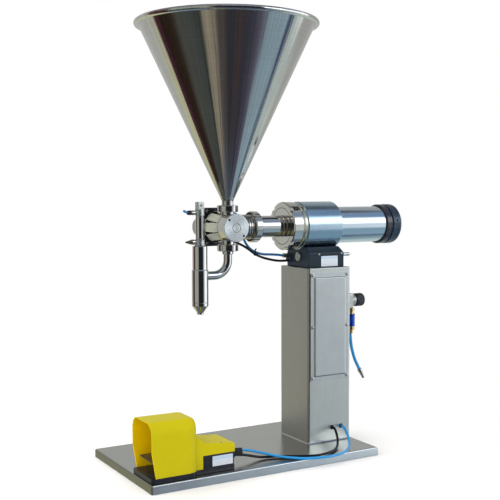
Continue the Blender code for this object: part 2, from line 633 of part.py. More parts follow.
def build_actuator_body():
    """Upright rounded body crossed by the domed piston cylinder."""
    y0, y1 = 50.5, 90.0
    outline = (VALVE_X - 36, VALVE_X + 36, 511.0, 604.0)
    steps = [(1.0, 7.0, y0), (0.0, 7.0, y0 + 1.0), (0.0, 7.0, y1 - 1.0), (1.0, 7.0, y1)]
    body = rounded_solid("actuator_body", BLACK, "Y", outline, steps, 3)
    cross_axis = (ACTUATOR_Y, AXIS_Z)
    dome = [(0.0, 58), (14.0, 57), (19.0, 53), (20.5, 48)]   # radius, distance from the middle
    profile = [(radius, VALVE_X - reach) for radius, reach in dome]
    profile += [(radius, VALVE_X + reach) for radius, reach in reversed(dome)]
    join(body, lathe(*CUTTER, "X", cross_axis, profile, 20, True))
    drill(body, "X", cross_axis, 16.0, VALVE_X - 50, VALVE_X + 50, 20, True)
    drill(body, "Y", VALVE_AXIS, 8.3, y0 - 8, ACTUATOR_Y, 12)
    for port in (ACTUATOR_LOWER_PORT, ACTUATOR_UPPER_PORT):
        drill(body, "X", port, 3.4, VALVE_X + 26, VALVE_X + 44, 8)


def pinion_outline():
    """Involute gear (x, z), tooth 0 upright; straight flanks below the base circle."""
    base_r = PITCH_R * cos(PRESSURE_ANGLE)
    tip_r = PITCH_R + TOOTH_ADDENDUM
    root_r = PITCH_R - 1.2 * GEAR_MODULE
    pitch_half = pi / (2 * PINION_TEETH) - TOOTH_THINNING / PITCH_R
    involute = tan(PRESSURE_ANGLE) - PRESSURE_ANGLE
    steps = 3

    # half tooth: (half angle, radius) from root to tip
    flank = [(pitch_half + involute, root_r)]
    for i in range(steps + 1):
        radius = base_r + (tip_r - base_r) * i / steps
        roll = acos(base_r / radius)
        flank.append((pitch_half + involute - (tan(roll) - roll), radius))

    outline = []
    for k in range(PINION_TEETH):
        middle = 2 * pi * k / PINION_TEETH
        tooth = [(middle - half, radius) for half, radius in flank]
        tooth += [(middle + half, radius) for half, radius in reversed(flank)]
        outline += [(VALVE_X + r * sin(a), AXIS_Z + r * cos(a)) for a, r in tooth]
    return outline


def build_pinion():
    """Pinion with its shaft, turns on Y."""
    pinion = prism("actuator_pinion", STEEL, pinion_outline(), "Y", *RACK_FACE)
    add_cylinder(pinion, "Y", VALVE_AXIS, 6.4, 51.8, ACTUATOR_Y + 11.0, 12)


def build_rack():
    """Rack with a piston on each end, slides on X; a tooth space faces tooth 0."""
    pitch = pi * GEAR_MODULE
    pitch_z = AXIS_Z + PITCH_R
    tip_z = pitch_z - TOOTH_ADDENDUM          # the teeth point down
    root_z = pitch_z + 1.15 * GEAR_MODULE
    top_z = AXIS_Z + 14.6
    slope = tan(PRESSURE_ANGLE)
    pitch_half = pitch / 4.0 - TOOTH_THINNING
    root_half = pitch_half + (root_z - pitch_z) * slope
    tip_half = pitch_half - (pitch_z - tip_z) * slope
    x0, x1 = VALVE_X - 31.0, VALVE_X + 17.0   # inner faces of the pistons
    overlap, piston_length, piston_r = 4, 10.0, 15.85

    outline = [(x0 - overlap, top_z), (x0 - overlap, root_z)]
    for k in range(-6, 3):                    # nine teeth
        x = VALVE_X + (k + 0.5) * pitch
        outline += [(x - root_half, root_z), (x - tip_half, tip_z),
                    (x + tip_half, tip_z), (x + root_half, root_z)]
    outline += [(x1 + overlap, root_z), (x1 + overlap, top_z)]
    rack = prism("rack_piston", STEEL, outline, "Y", *RACK_FACE)
    for start, end in ((x0 - piston_length, x0), (x1, x1 + piston_length)):
        add_cylinder(rack, "X", (ACTUATOR_Y, AXIS_Z), piston_r, start, end, 20, True)


# ================================================================ nozzle
ELBOW_Z, ELBOW_R = 444.2, 36.0
PIPE_R, PIPE_BORE = 10.4, 8.6
NOZZLE_R = 19.6
BOTTOM_HEAD_R, TOP_HEAD_R = 11.5, 11.2


def turned_nozzle(name, mat, profile, segments):
    """Part turned about the nozzle's vertical axis; profile is (radius, z)."""
    return lathe(name, mat, "Z", NOZZLE_AXIS, profile, segments)


def build_nozzle_body():
    """Upright body with a pipe that bends up to the valve's lower port."""
    body = turned_nozzle("nozzle_body", POLISHED, [
        (0.0, 382.4), (NOZZLE_R, 382.4), (NOZZLE_R, 459.0), (17.8, 460.0), (17.8, 515.0),
        (16.8, 516.0), (0.0, 516.0)], 18)
    bend = [(-75.0, 0.0, ELBOW_Z)]
    bend += station(arc(PORT_X - ELBOW_R, ELBOW_Z + ELBOW_R, ELBOW_R, -90, 0, 8), "Y", 0.0)
    outer = [(NOZZLE_X + 10.0, 0.0, ELBOW_Z)] + bend + [(PORT_X, 0.0, 496.0)]
    inner = [(NOZZLE_X, 0.0, ELBOW_Z)] + bend + [(PORT_X, 0.0, 515.0)]
    join(body, sweep(*CUTTER, outer, PIPE_R, 14))
    # collar and flange at the pipe's upper end
    join(body, lathe(*CUTTER, "Z", PORT_AXIS, [
        (0.0, 493.4), (12.6, 493.4), (13.4, 494.2), (13.4, 505.8), (19.8, 505.8),
        (19.8, 509.2), (0.0, 509.2)], 14))
    cut(body, sweep(*CUTTER, inner, PIPE_BORE, 12))
    drill(body, "Z", NOZZLE_AXIS, 15.0, 375.0, 504.0, 18)
    drill(body, "Z", NOZZLE_AXIS, 4.4, 500.0, 520.0, 10)


def build_nozzle_tip():
    turned_nozzle("nozzle_tip", POLISHED, [
        (3.9, 353.8), (7.4, 353.8), (7.9, 354.4), (7.9, 358.0), (NOZZLE_R, 374.4),
        (NOZZLE_R, 382.1), (14.7, 382.1), (14.7, 391.0), (11.0, 391.0), (11.0, 376.0),
        (3.9, 366.0)], 18)


def build_nozzle_plunger():
    """Shut-off plunger with its air piston, slides on Z."""
    turned_nozzle("nozzle_plunger", STEEL, [
        (0.0, 355.0), (3.5, 355.6), (3.5, 366.6), (9.0, 374.6), (9.0, 380.0), (4.0, 385.0),
        (4.0, 541.6), (8.5, 541.6), (8.5, 549.0), (0.0, 549.0)], 12)


def build_nozzle_air_cylinder():
    """Bottom head, barrel, and top head with a drilled lug."""
    turned_nozzle("nozzle_air_bottom_head", ALUMINIUM, [
        (4.4, 516.4), (13.0, 516.4), (13.0, 518.4), (BOTTOM_HEAD_R, 518.8),
        (BOTTOM_HEAD_R, 531.0), (11.0, 531.5), (4.4, 531.5)], 14)
    z0, z1 = 531.5 + GAP, 586.4 - GAP
    turned_nozzle("nozzle_air_barrel", POLISHED, [(8.8, z0), (10.0, z0), (10.0, z1), (8.8, z1)],
                  14)
    head = turned_nozzle("nozzle_air_top_head", ALUMINIUM, [
        (0.0, 586.4), (10.6, 586.4), (TOP_HEAD_R, 587.0), (TOP_HEAD_R, 601.6), (10.4, 602.6),
        (0.0, 602.6)], 14)
    join(head, block(*CUTTER, (NOZZLE_X - 8.5, NOZZLE_X + 8.5, -8.0, 8.0), 600.0, 619.2,
                     radius=2.0, chamfer=0.8))
    drill(head, "Y", (NOZZLE_X, 610.5), 3.0, -15, 15, 10)


def build_nozzle_fittings():
    """Air fitting on the top head and silencer on the bottom head, both towards -X."""
    x = NOZZLE_X - TOP_HEAD_R - GAP
    lathe("nozzle_air_fitting", BLACK, "X", (0.0, 594.0),
          [(0.0, x), (4.2, x), (4.2, x - 3.2), (5.6, x - 3.2), (5.6, x - 15.0),
           (4.8, x - 21.3), (3.2, x - 21.3), (3.2, x - 10.0), (0.0, x - 10.0)], 12)
    x = NOZZLE_X - BOTTOM_HEAD_R - GAP
    lathe("nozzle_silencer", BRASS, "X", (0.0, 525.2),
          [(0.0, x), (4.4, x), (4.4, x - 2.7), (6.4, x - 2.7), (6.4, x - 9.0),
           (3.4, x - 20.0), (0.0, x - 26.5)], 12)


# ================================================================ air preparation
def build_regulator():
    """Regulator on the column's +X wall, with a neck for its knob."""
    y, z = REGULATOR_AXIS
    half_y, half_z, corner = 18.5, 19.0, 3.0
    x0, x1 = COLUMN_X1 + GAP, 325.0
    steps = [(1.5, corner, x0 + 4), (0.0, corner, x0 + 5.5), (0.0, corner, x1 - 1.5),
             (1.5, corner, x1)]
    body = rounded_solid("regulator_body", GREY, "X",
                         (y - half_y, y + half_y, z - half_z, z + half_z), steps, 2)
    add_cylinder(body, "X", REGULATOR_AXIS, 4.9, x0 - 10, x0 + 12, 12)
    add_cylinder(body, "X", REGULATOR_AXIS, 14.0, 316.0, 339.4, 18)
    drill(body, "X", REGULATOR_AXIS, 6.4, 324.0, 345.0, 12)
    # clearance over the slide valve
    cut(body, box_cutter(314.0, 343.0, y - 12, y + 12, z - 30, z - 21.0))
    lathe("regulator_knob", BLACK, "X", REGULATOR_AXIS,
          [(0.0, 326.0), (6.0, 326.0), (6.0, 339.8), (15.6, 339.8), (16.8, 341.0),
           (16.8, 369.5), (15.6, 372.3), (13.0, 373.6), (0.0, 373.6)], 18)


def build_slide_valve():
    """Slide valve under the regulator, with its sleeve."""
    centre = (SLIDE_VALVE_X, REGULATOR_AXIS[0])
    lathe("slide_valve_body", BRASS, "Z", centre,
          [(4.3, 277.6), (6.6, 277.6), (7.6, 278.6), (7.6, 286.4), (10.8, 287.0),
           (10.8, 296.2), (9.0, 296.2), (9.0, 335.2), (10.8, 335.2), (10.8, 343.2),
           (0.0, 343.2), (0.0, 288.0), (4.3, 288.0)], 14)
    lathe("slide_valve_sleeve", BLUE_SLEEVE, "Z", centre,
          [(9.4, 296.6), (11.4, 296.6), (12.1, 297.6), (12.1, 327.6), (11.4, 328.6),
           (9.4, 328.6)], 14)


def build_supply_hose():
    """Hose down from the slide valve, with a plug in line with its end."""
    y = REGULATOR_AXIS[0]
    end = Vector((357.2, y, 183.0))
    stations = [                    # x, z
        (SLIDE_VALVE_X, 286.5), (SLIDE_VALVE_X, 276.0), (SLIDE_VALVE_X + 2.0, 256.0),
        (334.0, 237.0), (342.5, 211.0), (350.5, 195.0)]
    path = smooth_path(station(stations, "Y", y) + [tuple(end)], 8.0)
    sweep("supply_hose", BLUE_HOSE, path, 4.0, 8)
    # the plug is turned upright at the origin, then moved on to the hose end
    plug = lathe("quick_plug", BRASS, "Z", (0.0, 0.0),
                 [(0.0, 0.4), (5.6, 0.4), (5.6, 9.6), (4.6, 10.0), (4.6, 18.4), (3.8, 19.0),
                  (3.8, 29.0), (0.0, 29.0)], 12)
    direction = (path[-1] - path[-2]).normalized()
    turn = Vector((0, 0, 1)).rotation_difference(direction).to_matrix().to_4x4()
    plug.data.transform(Matrix.Translation(end * 0.001) @ turn)


# ================================================================ foot pedal
PEDAL_X0, PEDAL_X1 = -296.0, -88.0
PEDAL_WIDE, PEDAL_NARROW = 53.0, 41.0        # half widths at -X and at +X
PEDAL_PLATE_TOP = 31.0
PEDAL_COVER_FOOT = PEDAL_PLATE_TOP + GAP
PEDAL_WALL = 2.6
PIVOT_BORE = 3.3


def drill_pivot(part):
    drill(part, "Y", PEDAL_PIVOT, PIVOT_BORE, PEDAL_Y - 60, PEDAL_Y + 60, 10)


def build_pedal_base():
    """Plate, wide at -X and narrow at +X, with a valve box and two pivot ears."""
    half_outline = [(PEDAL_X0, PEDAL_WIDE), (-214, PEDAL_WIDE), (-196, PEDAL_NARROW),
                    (PEDAL_X1, PEDAL_NARROW)]
    outline = [(x, PEDAL_Y - half) for x, half in half_outline]
    outline += [(x, PEDAL_Y + half) for x, half in reversed(half_outline)]
    base = prism("pedal_base", RUBBER, outline, "Z", BASE_HEIGHT + GAP, PEDAL_PLATE_TOP)
    sunk = PEDAL_PLATE_TOP - 3
    join(base, block(*CUTTER, (-167.0, PEDAL_X1, PEDAL_Y - 39.0, PEDAL_Y + 39.0), sunk, 60.5,
                     radius=3.0, chamfer=1.0))
    x, z = PEDAL_PIVOT
    ear = [(x - 8, sunk), (x + 8, sunk)] + arc(x, z, 7.0, 0, 180, 6)
    for start, end in ((-39.2, -35.4), (35.4, 39.2)):
        join(base, prism(*CUTTER, ear, "Y", PEDAL_Y + start, PEDAL_Y + end))
    drill_pivot(base)
    drill(base, "Z", (PLUNGER_X, PEDAL_Y), 5.3, 22.0, 40.0, 12)


def build_pedal_pin():
    y0, y1 = PEDAL_Y - 39.5, PEDAL_Y + 39.5
    lathe("pedal_pin", STEEL, "Y", PEDAL_PIVOT, [(0.0, y0), (3.0, y0), (3.0, y1), (0.0, y1)], 10)


def build_treadle():
    """Plate with a barrel round the pin."""
    outline = arc(*PEDAL_PIVOT, 6.6, -60, 100, 8)
    outline += [                    # x, z
        (-212.0, 57.0), (-262.0, 63.0), (-284.0, 63.4), (-286.5, 61.5),
        (-284.0, 58.6), (-262.0, 57.6), (-214.0, 51.2), (-208.0, 46.0)]
    treadle = prism("pedal_treadle", BLACK, outline, "Y", PEDAL_Y - 35.0, PEDAL_Y + 35.0)
    drill_pivot(treadle)


def build_pedal_plunger():
    """Valve plunger under the treadle, slides on Z."""
    lathe("pedal_plunger", STEEL, "Z", (PLUNGER_X, PEDAL_Y),
          [(0.0, 27.2), (5.0, 27.2), (5.0, 46.6), (4.6, 48.6), (3.5, 50.2), (1.9, 51.3),
           (0.0, 51.6)], 12)


def hood_loft(name, mat, stations, foot, inset):
    """Arch through stations (x, half width, crown z, shoulder radius), inset all round."""
    rings = []
    for x, half, crown, shoulder in stations:
        radius = shoulder - inset
        left, right = PEDAL_Y - (half - inset), PEDAL_Y + (half - inset)
        z = crown - inset - radius
        outline = [(left, foot)] + arc(left + radius, z, radius, 180, 90, 6)
        outline += arc(right - radius, z, radius, 90, 0, 6) + [(right, foot)]
        rings.append(station(outline, "X", x))
    return loft(name, mat, rings)


def build_hood():
    """Arch shell, open and cut back at -X, tapered and closed at +X."""
    outer = [                       # x, half width, crown z, shoulder radius
        (PEDAL_X0, PEDAL_WIDE, 150.0, 27.0), (-213.0, PEDAL_WIDE, 149.0, 27.0),
        (-197.0, 43.5, 144.5, 20.0), (-192.3, PEDAL_NARROW, 140.5, 16.0)]
    inner = [                       # same columns, before the wall is taken off
        (-310.0, PEDAL_WIDE, 150.0, 27.0), (-213.5, PEDAL_WIDE, 149.0, 27.0),
        (-198.3, 43.9, 144.4, 20.0), (-194.9, 42.4, 141.6, 18.0)]
    hood = hood_loft("pedal_hood", YELLOW, outer, PEDAL_COVER_FOOT, 0.0)
    cut(hood, hood_loft(*CUTTER, inner, PEDAL_COVER_FOOT - 12, PEDAL_WALL))
    set_back = [(-310.0, 20.0), (-284.9, 20.0), (PEDAL_X0, 86.0), (-310.0, 90.0)]
    cut(hood, prism(*CUTTER, set_back, "Y", PEDAL_Y - 70, PEDAL_Y + 70))


def build_pedal_cover():
    """Hollow cover over the valve box, open below."""
    foot, ledge = PEDAL_COVER_FOOT, 61.0
    outline = [(-192.0, foot), (-167.6, foot), (-167.6, ledge), (PEDAL_X1, ledge),
               (PEDAL_X1, 79.5), (-90.0, 81.0), (-161.0, 88.5), (-192.0, 107.0)]
    cover = prism("pedal_top_cover", YELLOW, outline, "Y",
                  PEDAL_Y - PEDAL_NARROW, PEDAL_Y + PEDAL_NARROW)
    inside_x = PEDAL_X1 - PEDAL_WALL
    cavity = [(-189.4, foot - 8), (-170.2, foot - 8), (-170.2, ledge - 5),
              (inside_x, ledge - 5), (inside_x, 78.0), (-161.5, 85.6), (-189.4, 102.4)]
    cut(cover, prism(*CUTTER, cavity, "Y", PEDAL_Y - PEDAL_NARROW + PEDAL_WALL,
                     PEDAL_Y + PEDAL_NARROW - PEDAL_WALL))


def build_gland():
    """Gland block with two hose holes."""
    outline = (PEDAL_X1 + GAP, PEDAL_X1 + 19.0, PEDAL_Y - 7.5, PEDAL_Y + 7.5)
    gland = block("pedal_gland", RUBBER, outline, 34.5, 56.5, radius=2.0, chamfer=1.0)
    for z in (PEDAL_BLUE_Z, PEDAL_BLACK_Z):
        drill(gland, "X", (PEDAL_Y, z), 3.3, PEDAL_X1 + 8, PEDAL_X1 + 30, 8)


# ================================================================ hoses
# Pedal hoses, from the gland to the column: x, y from the pedal's centre plane, z
PEDAL_BLUE_PATH = [
    (-79, 0, PEDAL_BLUE_Z), (-64, 0, PEDAL_BLUE_Z), (-32, -2, 46), (3, -9, 36),
    (38, -29, 27.5), (74, -54, 24.2), (110, -71, 23.7), (150, -77, 23.7), (190, -69, 24),
    (222, -47, 26), (246, -16, 34), (259, 12, 46), (264, 32, 54.2), (264.5, 43, 55),
    (264.5, 52, 55), (264.5, 62, 55)]
PEDAL_BLACK_PATH = [
    (-79, 0, PEDAL_BLACK_Z), (-64, 0, PEDAL_BLACK_Z), (-34, -1, 34), (3, -4, 25),
    (40, -13, 23.6), (80, -36, 23.6), (122, -54, 23.6), (165, -49, 23.6), (200, -27, 24),
    (222, -2, 31), (234, 20, 44), (237.5, 34, 53.6), (237.5, 43, 54.5), (237.5, 52, 54.5),
    (237.5, 62, 54.5)]
# Valve hoses, from the control box to the actuator: x, y, z
VALVE_BLUE_PATH = [
    (BOX_FITTING_X - 1.0, *BOX_BLUE_HOSE), (BOX_FITTING_X - 14, *BOX_BLUE_HOSE),
    (148, 40, 483.5), (127, 44, 485.2), (104, 46, 486.5), (86, 49.5, 491.5), (71, 50, 499.5),
    (60, 50, 510), (51, 49, 524), (45, 49, 545), (42, 50, 563), (36, 53, 582), (27, 58, 591),
    (16, *ACTUATOR_UPPER_PORT), (6, *ACTUATOR_UPPER_PORT)]
VALVE_BLACK_PATH = [
    (BOX_X0 + 3.0, *BOX_BLACK_HOSE), (BOX_X0 - 8, *BOX_BLACK_HOSE), (140, 38, 469.5),
    (107, 42, 476.5), (85, 43, 484.8), (74, 43, 491), (57, 46, 503.5), (42, 53, 513),
    (28, 60, 519.5), (16, *ACTUATOR_LOWER_PORT), (6, *ACTUATOR_LOWER_PORT)]


def build_hoses():
    for name, mat, points in (("pedal_hose_blue", BLUE_HOSE, PEDAL_BLUE_PATH),
                              ("pedal_hose_black", BLACK_HOSE, PEDAL_BLACK_PATH)):
        path = [(x, PEDAL_Y + y, z) for x, y, z in points]
        sweep(name, mat, smooth_path(path, 22.0), HOSE_R, 8)
    for name, mat, path in (("valve_hose_blue", BLUE_HOSE, VALVE_BLUE_PATH),
                            ("valve_hose_black", BLACK_HOSE, VALVE_BLACK_PATH)):
        sweep(name, mat, smooth_path(path, 16.0), HOSE_R, 8)


# ================================================================ finishing
# Origins of the moving parts, on their joint axes: x, y, z
ORIGINS = {
    "product_piston": (0, 0, AXIS_Z),
    "piston_rod": (0, 0, AXIS_Z),
    "air_piston": (0, 0, AXIS_Z),
    "stop_screw": (0, 0, AXIS_Z),
    "volume_knob": (KNOB_HOLE_X, 0, AXIS_Z),
    "valve_rotor": (VALVE_X, 0, AXIS_Z),
    "actuator_pinion": (VALVE_X, ACTUATOR_Y, AXIS_Z),
    "rack_piston": (VALVE_X, ACTUATOR_Y, AXIS_Z),
    "nozzle_plunger": (NOZZLE_X, 0, 545),
    "pedal_treadle": (PEDAL_PIVOT[0], PEDAL_Y, PEDAL_PIVOT[1]),
    "pedal_plunger": (PLUNGER_X, PEDAL_Y, 40),
    "regulator_knob": (350, *REGULATOR_AXIS),
    "slide_valve_sleeve": (SLIDE_VALVE_X, REGULATOR_AXIS[0], 312),
    "speed_control_screw": (170, *SPEED_SCREW),
}


def set_origins():
    for name, place in ORIGINS.items():
        ob = bpy.data.objects[name]
        origin = metres(*place)
        ob.data.transform(Matrix.Translation(-origin))
        ob.location = origin


def shade_all():
    for ob in bpy.data.objects:
        ob.data.shade_smooth()
        ob.data.set_sharp_from_angle(angle=radians(32))


build_base()
build_column()
build_cover()
build_cover_screws()
build_grommets()

build_box()
build_exhaust_fitting()
build_speed_screw()
build_box_hose_fitting()

build_housing()
build_barrel()
build_collar()
build_volume_knob()
build_sliding_parts()
build_product_tube()
build_ring_nut()
build_cylinder_union_nut()

build_valve_body()
build_valve_cover()
build_valve_rotor()
build_port_nuts()
build_hopper()

build_actuator_body()
build_pinion()
build_rack()

build_nozzle_body()
build_nozzle_tip()
build_nozzle_plunger()
build_nozzle_air_cylinder()
build_nozzle_fittings()

build_regulator()
build_slide_valve()
build_supply_hose()

build_pedal_base()
build_pedal_pin()
build_treadle()
build_pedal_plunger()
build_hood()
build_pedal_cover()
build_gland()

build_hoses()

set_origins()
shade_all()
bpy.context.view_layer.update()
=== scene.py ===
# Looks of a piston liquid filler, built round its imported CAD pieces.
# The base lies in XY and the column stands on it at +X. The product cylinder lies along X
# with the valve, hopper and nozzle at its -X end; the foot pedal is at -X, -Y.
# Geometry is in millimetres and becomes metres as vertices are made; materials are in metres.
import bpy
import bmesh
from math import pi, sin, cos, tan, radians, hypot, sqrt
from mathutils import Vector, Matrix

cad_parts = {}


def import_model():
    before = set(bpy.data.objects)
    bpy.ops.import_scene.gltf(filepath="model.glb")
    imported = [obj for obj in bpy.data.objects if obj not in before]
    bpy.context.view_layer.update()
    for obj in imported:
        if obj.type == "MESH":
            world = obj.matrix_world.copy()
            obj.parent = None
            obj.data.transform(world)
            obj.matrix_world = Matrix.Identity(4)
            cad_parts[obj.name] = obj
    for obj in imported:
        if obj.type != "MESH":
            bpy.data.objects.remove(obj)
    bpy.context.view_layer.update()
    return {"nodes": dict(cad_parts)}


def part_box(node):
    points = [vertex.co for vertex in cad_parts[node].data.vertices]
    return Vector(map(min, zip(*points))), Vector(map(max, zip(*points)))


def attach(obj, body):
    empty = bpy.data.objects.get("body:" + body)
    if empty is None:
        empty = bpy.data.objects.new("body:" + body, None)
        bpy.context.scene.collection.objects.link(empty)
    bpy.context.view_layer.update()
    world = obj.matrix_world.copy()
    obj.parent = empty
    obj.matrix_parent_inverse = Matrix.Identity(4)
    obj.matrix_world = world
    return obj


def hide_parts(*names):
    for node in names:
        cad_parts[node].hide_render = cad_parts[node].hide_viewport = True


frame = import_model()

AXIS_Z = 557.7       # height of the product cylinder and of the valve
VALVE_X = -22.8
PORT_X = -22.0       # hopper and outlet ports
NOZZLE_X = -96.5
PEDAL_Y = -109.0     # centre plane of the pedal

CYLINDER_AXIS = (0.0, AXIS_Z)       # y, z
VALVE_AXIS = (VALVE_X, AXIS_Z)      # x, z
PORT_AXIS = (PORT_X, 0.0)           # x, y
NOZZLE_AXIS = (NOZZLE_X, 0.0)       # x, y


# ============================================================ mesh helpers
# Section coordinates are (y, z) along X, (x, z) along Y and (x, y) along Z.
# Lathe profiles are rows of (radius, place along the axis[, corner fillet]).

def mm(value):
    return value * 0.001


def point(x, y, z):
    return Vector((mm(x), mm(y), mm(z)))


def on_axis(pair, axis, height):
    """A section point lifted to (x, y, z) in mm."""
    if axis == "X":
        return (height, pair[0], pair[1])
    if axis == "Y":
        return (pair[0], height, pair[1])
    return (pair[0], pair[1], height)


def part_from(mesh):
    bmesh.ops.remove_doubles(mesh, verts=mesh.verts, dist=1.5e-6)
    bmesh.ops.recalc_face_normals(mesh, faces=mesh.faces)
    if mesh.calc_volume(signed=True) < 0:
        bmesh.ops.reverse_faces(mesh, faces=mesh.faces)
    data = bpy.data.meshes.new("part")
    mesh.to_mesh(data)
    mesh.free()
    part = bpy.data.objects.new("part", data)
    bpy.context.collection.objects.link(part)
    return part


def fillet(before, corner, after, radius, steps, reach):
    """Corner points of a quadratic curve; reach limits it as a share of each side."""
    before, corner, after = Vector(before), Vector(corner), Vector(after)
    back, ahead = before - corner, after - corner
    if back.length < 1e-6 or ahead.length < 1e-6:
        return [(corner.x, corner.y)]
    trim = radius / max(tan(back.angle(ahead) / 2), 0.05)
    trim = min(trim, back.length * reach, ahead.length * reach)
    start, end = corner + back.normalized() * trim, corner + ahead.normalized() * trim
    points = []
    for i in range(steps + 1):
        t = i / steps
        p = start * (1 - t) ** 2 + corner * 2 * t * (1 - t) + end * t ** 2
        points.append((p.x, p.y))
    return points


def filleted_profile(profile, steps):
    points = []
    last = len(profile) - 1
    for i, row in enumerate(profile):
        if len(row) < 3 or i in (0, last):
            points.append((row[0], row[1]))
        else:
            points += fillet(profile[i - 1][:2], row[:2], profile[i + 1][:2], row[2], steps, 0.48)
    return points


def filleted_polygon(corners, steps):
    """Closed outline from rows of (u, v, fillet)."""
    points = []
    for i, row in enumerate(corners):
        after = corners[(i + 1) % len(corners)]
        points += fillet(corners[i - 1][:2], row[:2], after[:2], row[2], steps, 0.45)
    return points


def turned_point(axis, center, radius, angle, height):
    u, v = cos(angle), sin(angle)
    if axis == "Y":
        u, v = v, u
    return point(*on_axis((center[0] + radius * u, center[1] + radius * v), axis, height))


def lathe(axis, center, profile, sides=96, steps=3, phase=0.0, wave=None):
    """Profile turned about an axis; it closes on itself unless both ends lie on the axis.
    wave(angle, radius, height) gives a modulated radius, for grips."""
    profile = filleted_profile(profile, steps)
    mesh = bmesh.new()
    rings = []
    for radius, height in profile:
        if radius == 0.0:
            rings.append([mesh.verts.new(turned_point(axis, center, 0.0, 0.0, height))])
            continue
        ring = []
        for i in range(sides):
            angle = phase + 2 * pi * i / sides
            r = wave(angle, radius, height) if wave else radius
            ring.append(mesh.verts.new(turned_point(axis, center, r, angle, height)))
        rings.append(ring)
    pairs = list(zip(rings, rings[1:]))
    if not (profile[0][0] == 0.0 and profile[-1][0] == 0.0):
        pairs.append((rings[-1], rings[0]))
    for first, second in pairs:
        if len(first) == 1 and len(second) == 1:
            continue
        if len(first) == 1 or len(second) == 1:
            tip, ring = (first, second) if len(first) == 1 else (second, first)
            for i in range(sides):
                mesh.faces.new((tip[0], ring[i], ring[(i + 1) % sides]))
            continue
        for i in range(sides):
            j = (i + 1) % sides
            mesh.faces.new((first[i], first[j], second[j], second[i]))
    return part_from(mesh)


def cylinder_solid(axis, center, radius, start, end, sides=64):
    return lathe(axis, center, [(0.0, start), (radius, start), (radius, end), (0.0, end)], sides)


def socket(axis, center, radius, start, floor, tip, sides=6):
    """Cutter for a drilled or hexagonal recess with a coned floor."""
    profile = [(0, start), (radius, start), (radius, floor), (0, tip)]
    return lathe(axis, center, profile, sides)


def rect_ring(axis, across, up, inset, radius, height, steps=6):
    """Rounded rectangle over the ranges across and up, drawn in by inset."""
    x0, x1, y0, y1 = across[0] + inset, across[1] - inset, up[0] + inset, up[1] - inset
    r = max(radius, 0.01)
    points = []
    corners = ((x1 - r, y1 - r), (x0 + r, y1 - r), (x0 + r, y0 + r), (x1 - r, y0 + r))
    for quarter, (cx, cy) in enumerate(corners):
        for i in range(steps + 1):
            a = radians(90 * quarter + 90.0 * i / steps)
            points.append(on_axis((cx + r * cos(a), cy + r * sin(a)), axis, height))
    return points


def loft(rings, close=False):
    """Skin over equal rings: capped at both ends, or closed from last to first."""
    mesh = bmesh.new()
    rows = [[mesh.verts.new(point(*p)) for p in ring] for ring in rings]
    sides, count = len(rows[0]), len(rows)
    for k in range(count if close else count - 1):
        first, second = rows[k], rows[(k + 1) % count]
        for i in range(sides):
            j = (i + 1) % sides
            mesh.faces.new((first[i], first[j], second[j], second[i]))
    if not close:
        mesh.faces.new(rows[0])
        mesh.faces.new(rows[-1])
    return part_from(mesh)


def slab(axis, across, up, along, radius, start_edge=0.0, end_edge=0.0, steps=6, edge_steps=3):
    """Rounded rectangle block along an axis with rounded end edges."""
    def ring(inset, height):
        return rect_ring(axis, across, up, inset, max(radius - inset, 0.05), height, steps)

    start, end = along
    turns = [radians(90.0 * i / edge_steps) for i in range(edge_steps)]
    rings = []
    if start_edge > 0:
        rings += [ring(start_edge * (1 - sin(a)), start + start_edge * (1 - cos(a)))
                  for a in turns]
    rings += [ring(0.0, start + start_edge), ring(0.0, end - end_edge)]
    if end_edge > 0:
        rings += [ring(end_edge * (1 - sin(a)), end - end_edge * (1 - cos(a)))
                  for a in reversed(turns)]
    return loft(rings)


def prism(outline, axis, start, end):
    return loft([[on_axis(p, axis, height) for p in outline] for height in (start, end)])


def bake(part):
    """Apply the modifiers of a part."""
    bpy.context.view_layer.update()
    graph = bpy.context.evaluated_depsgraph_get()
    data = bpy.data.meshes.new_from_object(part.evaluated_get(graph))
    part.modifiers.clear()
    old = part.data
    part.data = data
    bpy.data.meshes.remove(old)


def bevel(part, width, segments, limit):
    """Round the edges sharper than limit degrees."""
    modifier = part.modifiers.new("b", "BEVEL")
    modifier.width = mm(width)
    modifier.segments = segments
    modifier.limit_method = "ANGLE"
    modifier.angle_limit = radians(limit)
    modifier.use_clamp_overlap = True
    bake(part)


def boolean(part, tool, operation):
    modifier = part.modifiers.new("c", "BOOLEAN")
    modifier.operation = operation
    modifier.solver = "EXACT"
    modifier.object = tool
    bake(part)
    bpy.data.objects.remove(tool, do_unlink=True)
    mesh = bmesh.new()
    mesh.from_mesh(part.data)
    bmesh.ops.remove_doubles(mesh, verts=mesh.verts, dist=2e-6)
    bmesh.ops.dissolve_degenerate(mesh, dist=1e-6, edges=mesh.edges)
    mesh.to_mesh(part.data)
    mesh.free()


def cut(part, tool):
    boolean(part, tool, "DIFFERENCE")


def join(part, tool):
    boolean(part, tool, "UNION")


def moved(part, *matrices):
    for matrix in matrices:
        part.data.transform(matrix)
    return part


def shift(x, y, z):
    return Matrix.Translation(point(x, y, z))


def quarter_turns(first):
    return [first + i * pi / 2 for i in range(4)]


def smooth_path(stations, step):
    """Catmull-Rom curve through the stations, divided to about one step."""
    knots = [Vector(p) for p in stations]
    knots = [knots[0] * 2 - knots[1]] + knots + [knots[-1] * 2 - knots[-2]]
    points = []
    for before, start, end, after in zip(knots, knots[1:], knots[2:], knots[3:]):
        count = max(1, int(round((end - start).length / step)))
        for i in range(count):
            t = i / count
            points.append(0.5 * ((2 * start) + (end - before) * t
                                 + (2 * before - 5 * start + 4 * end - after) * t * t
                                 + (3 * start - before - 3 * end + after) * t * t * t))
    points.append(knots[-2].copy())
    return points


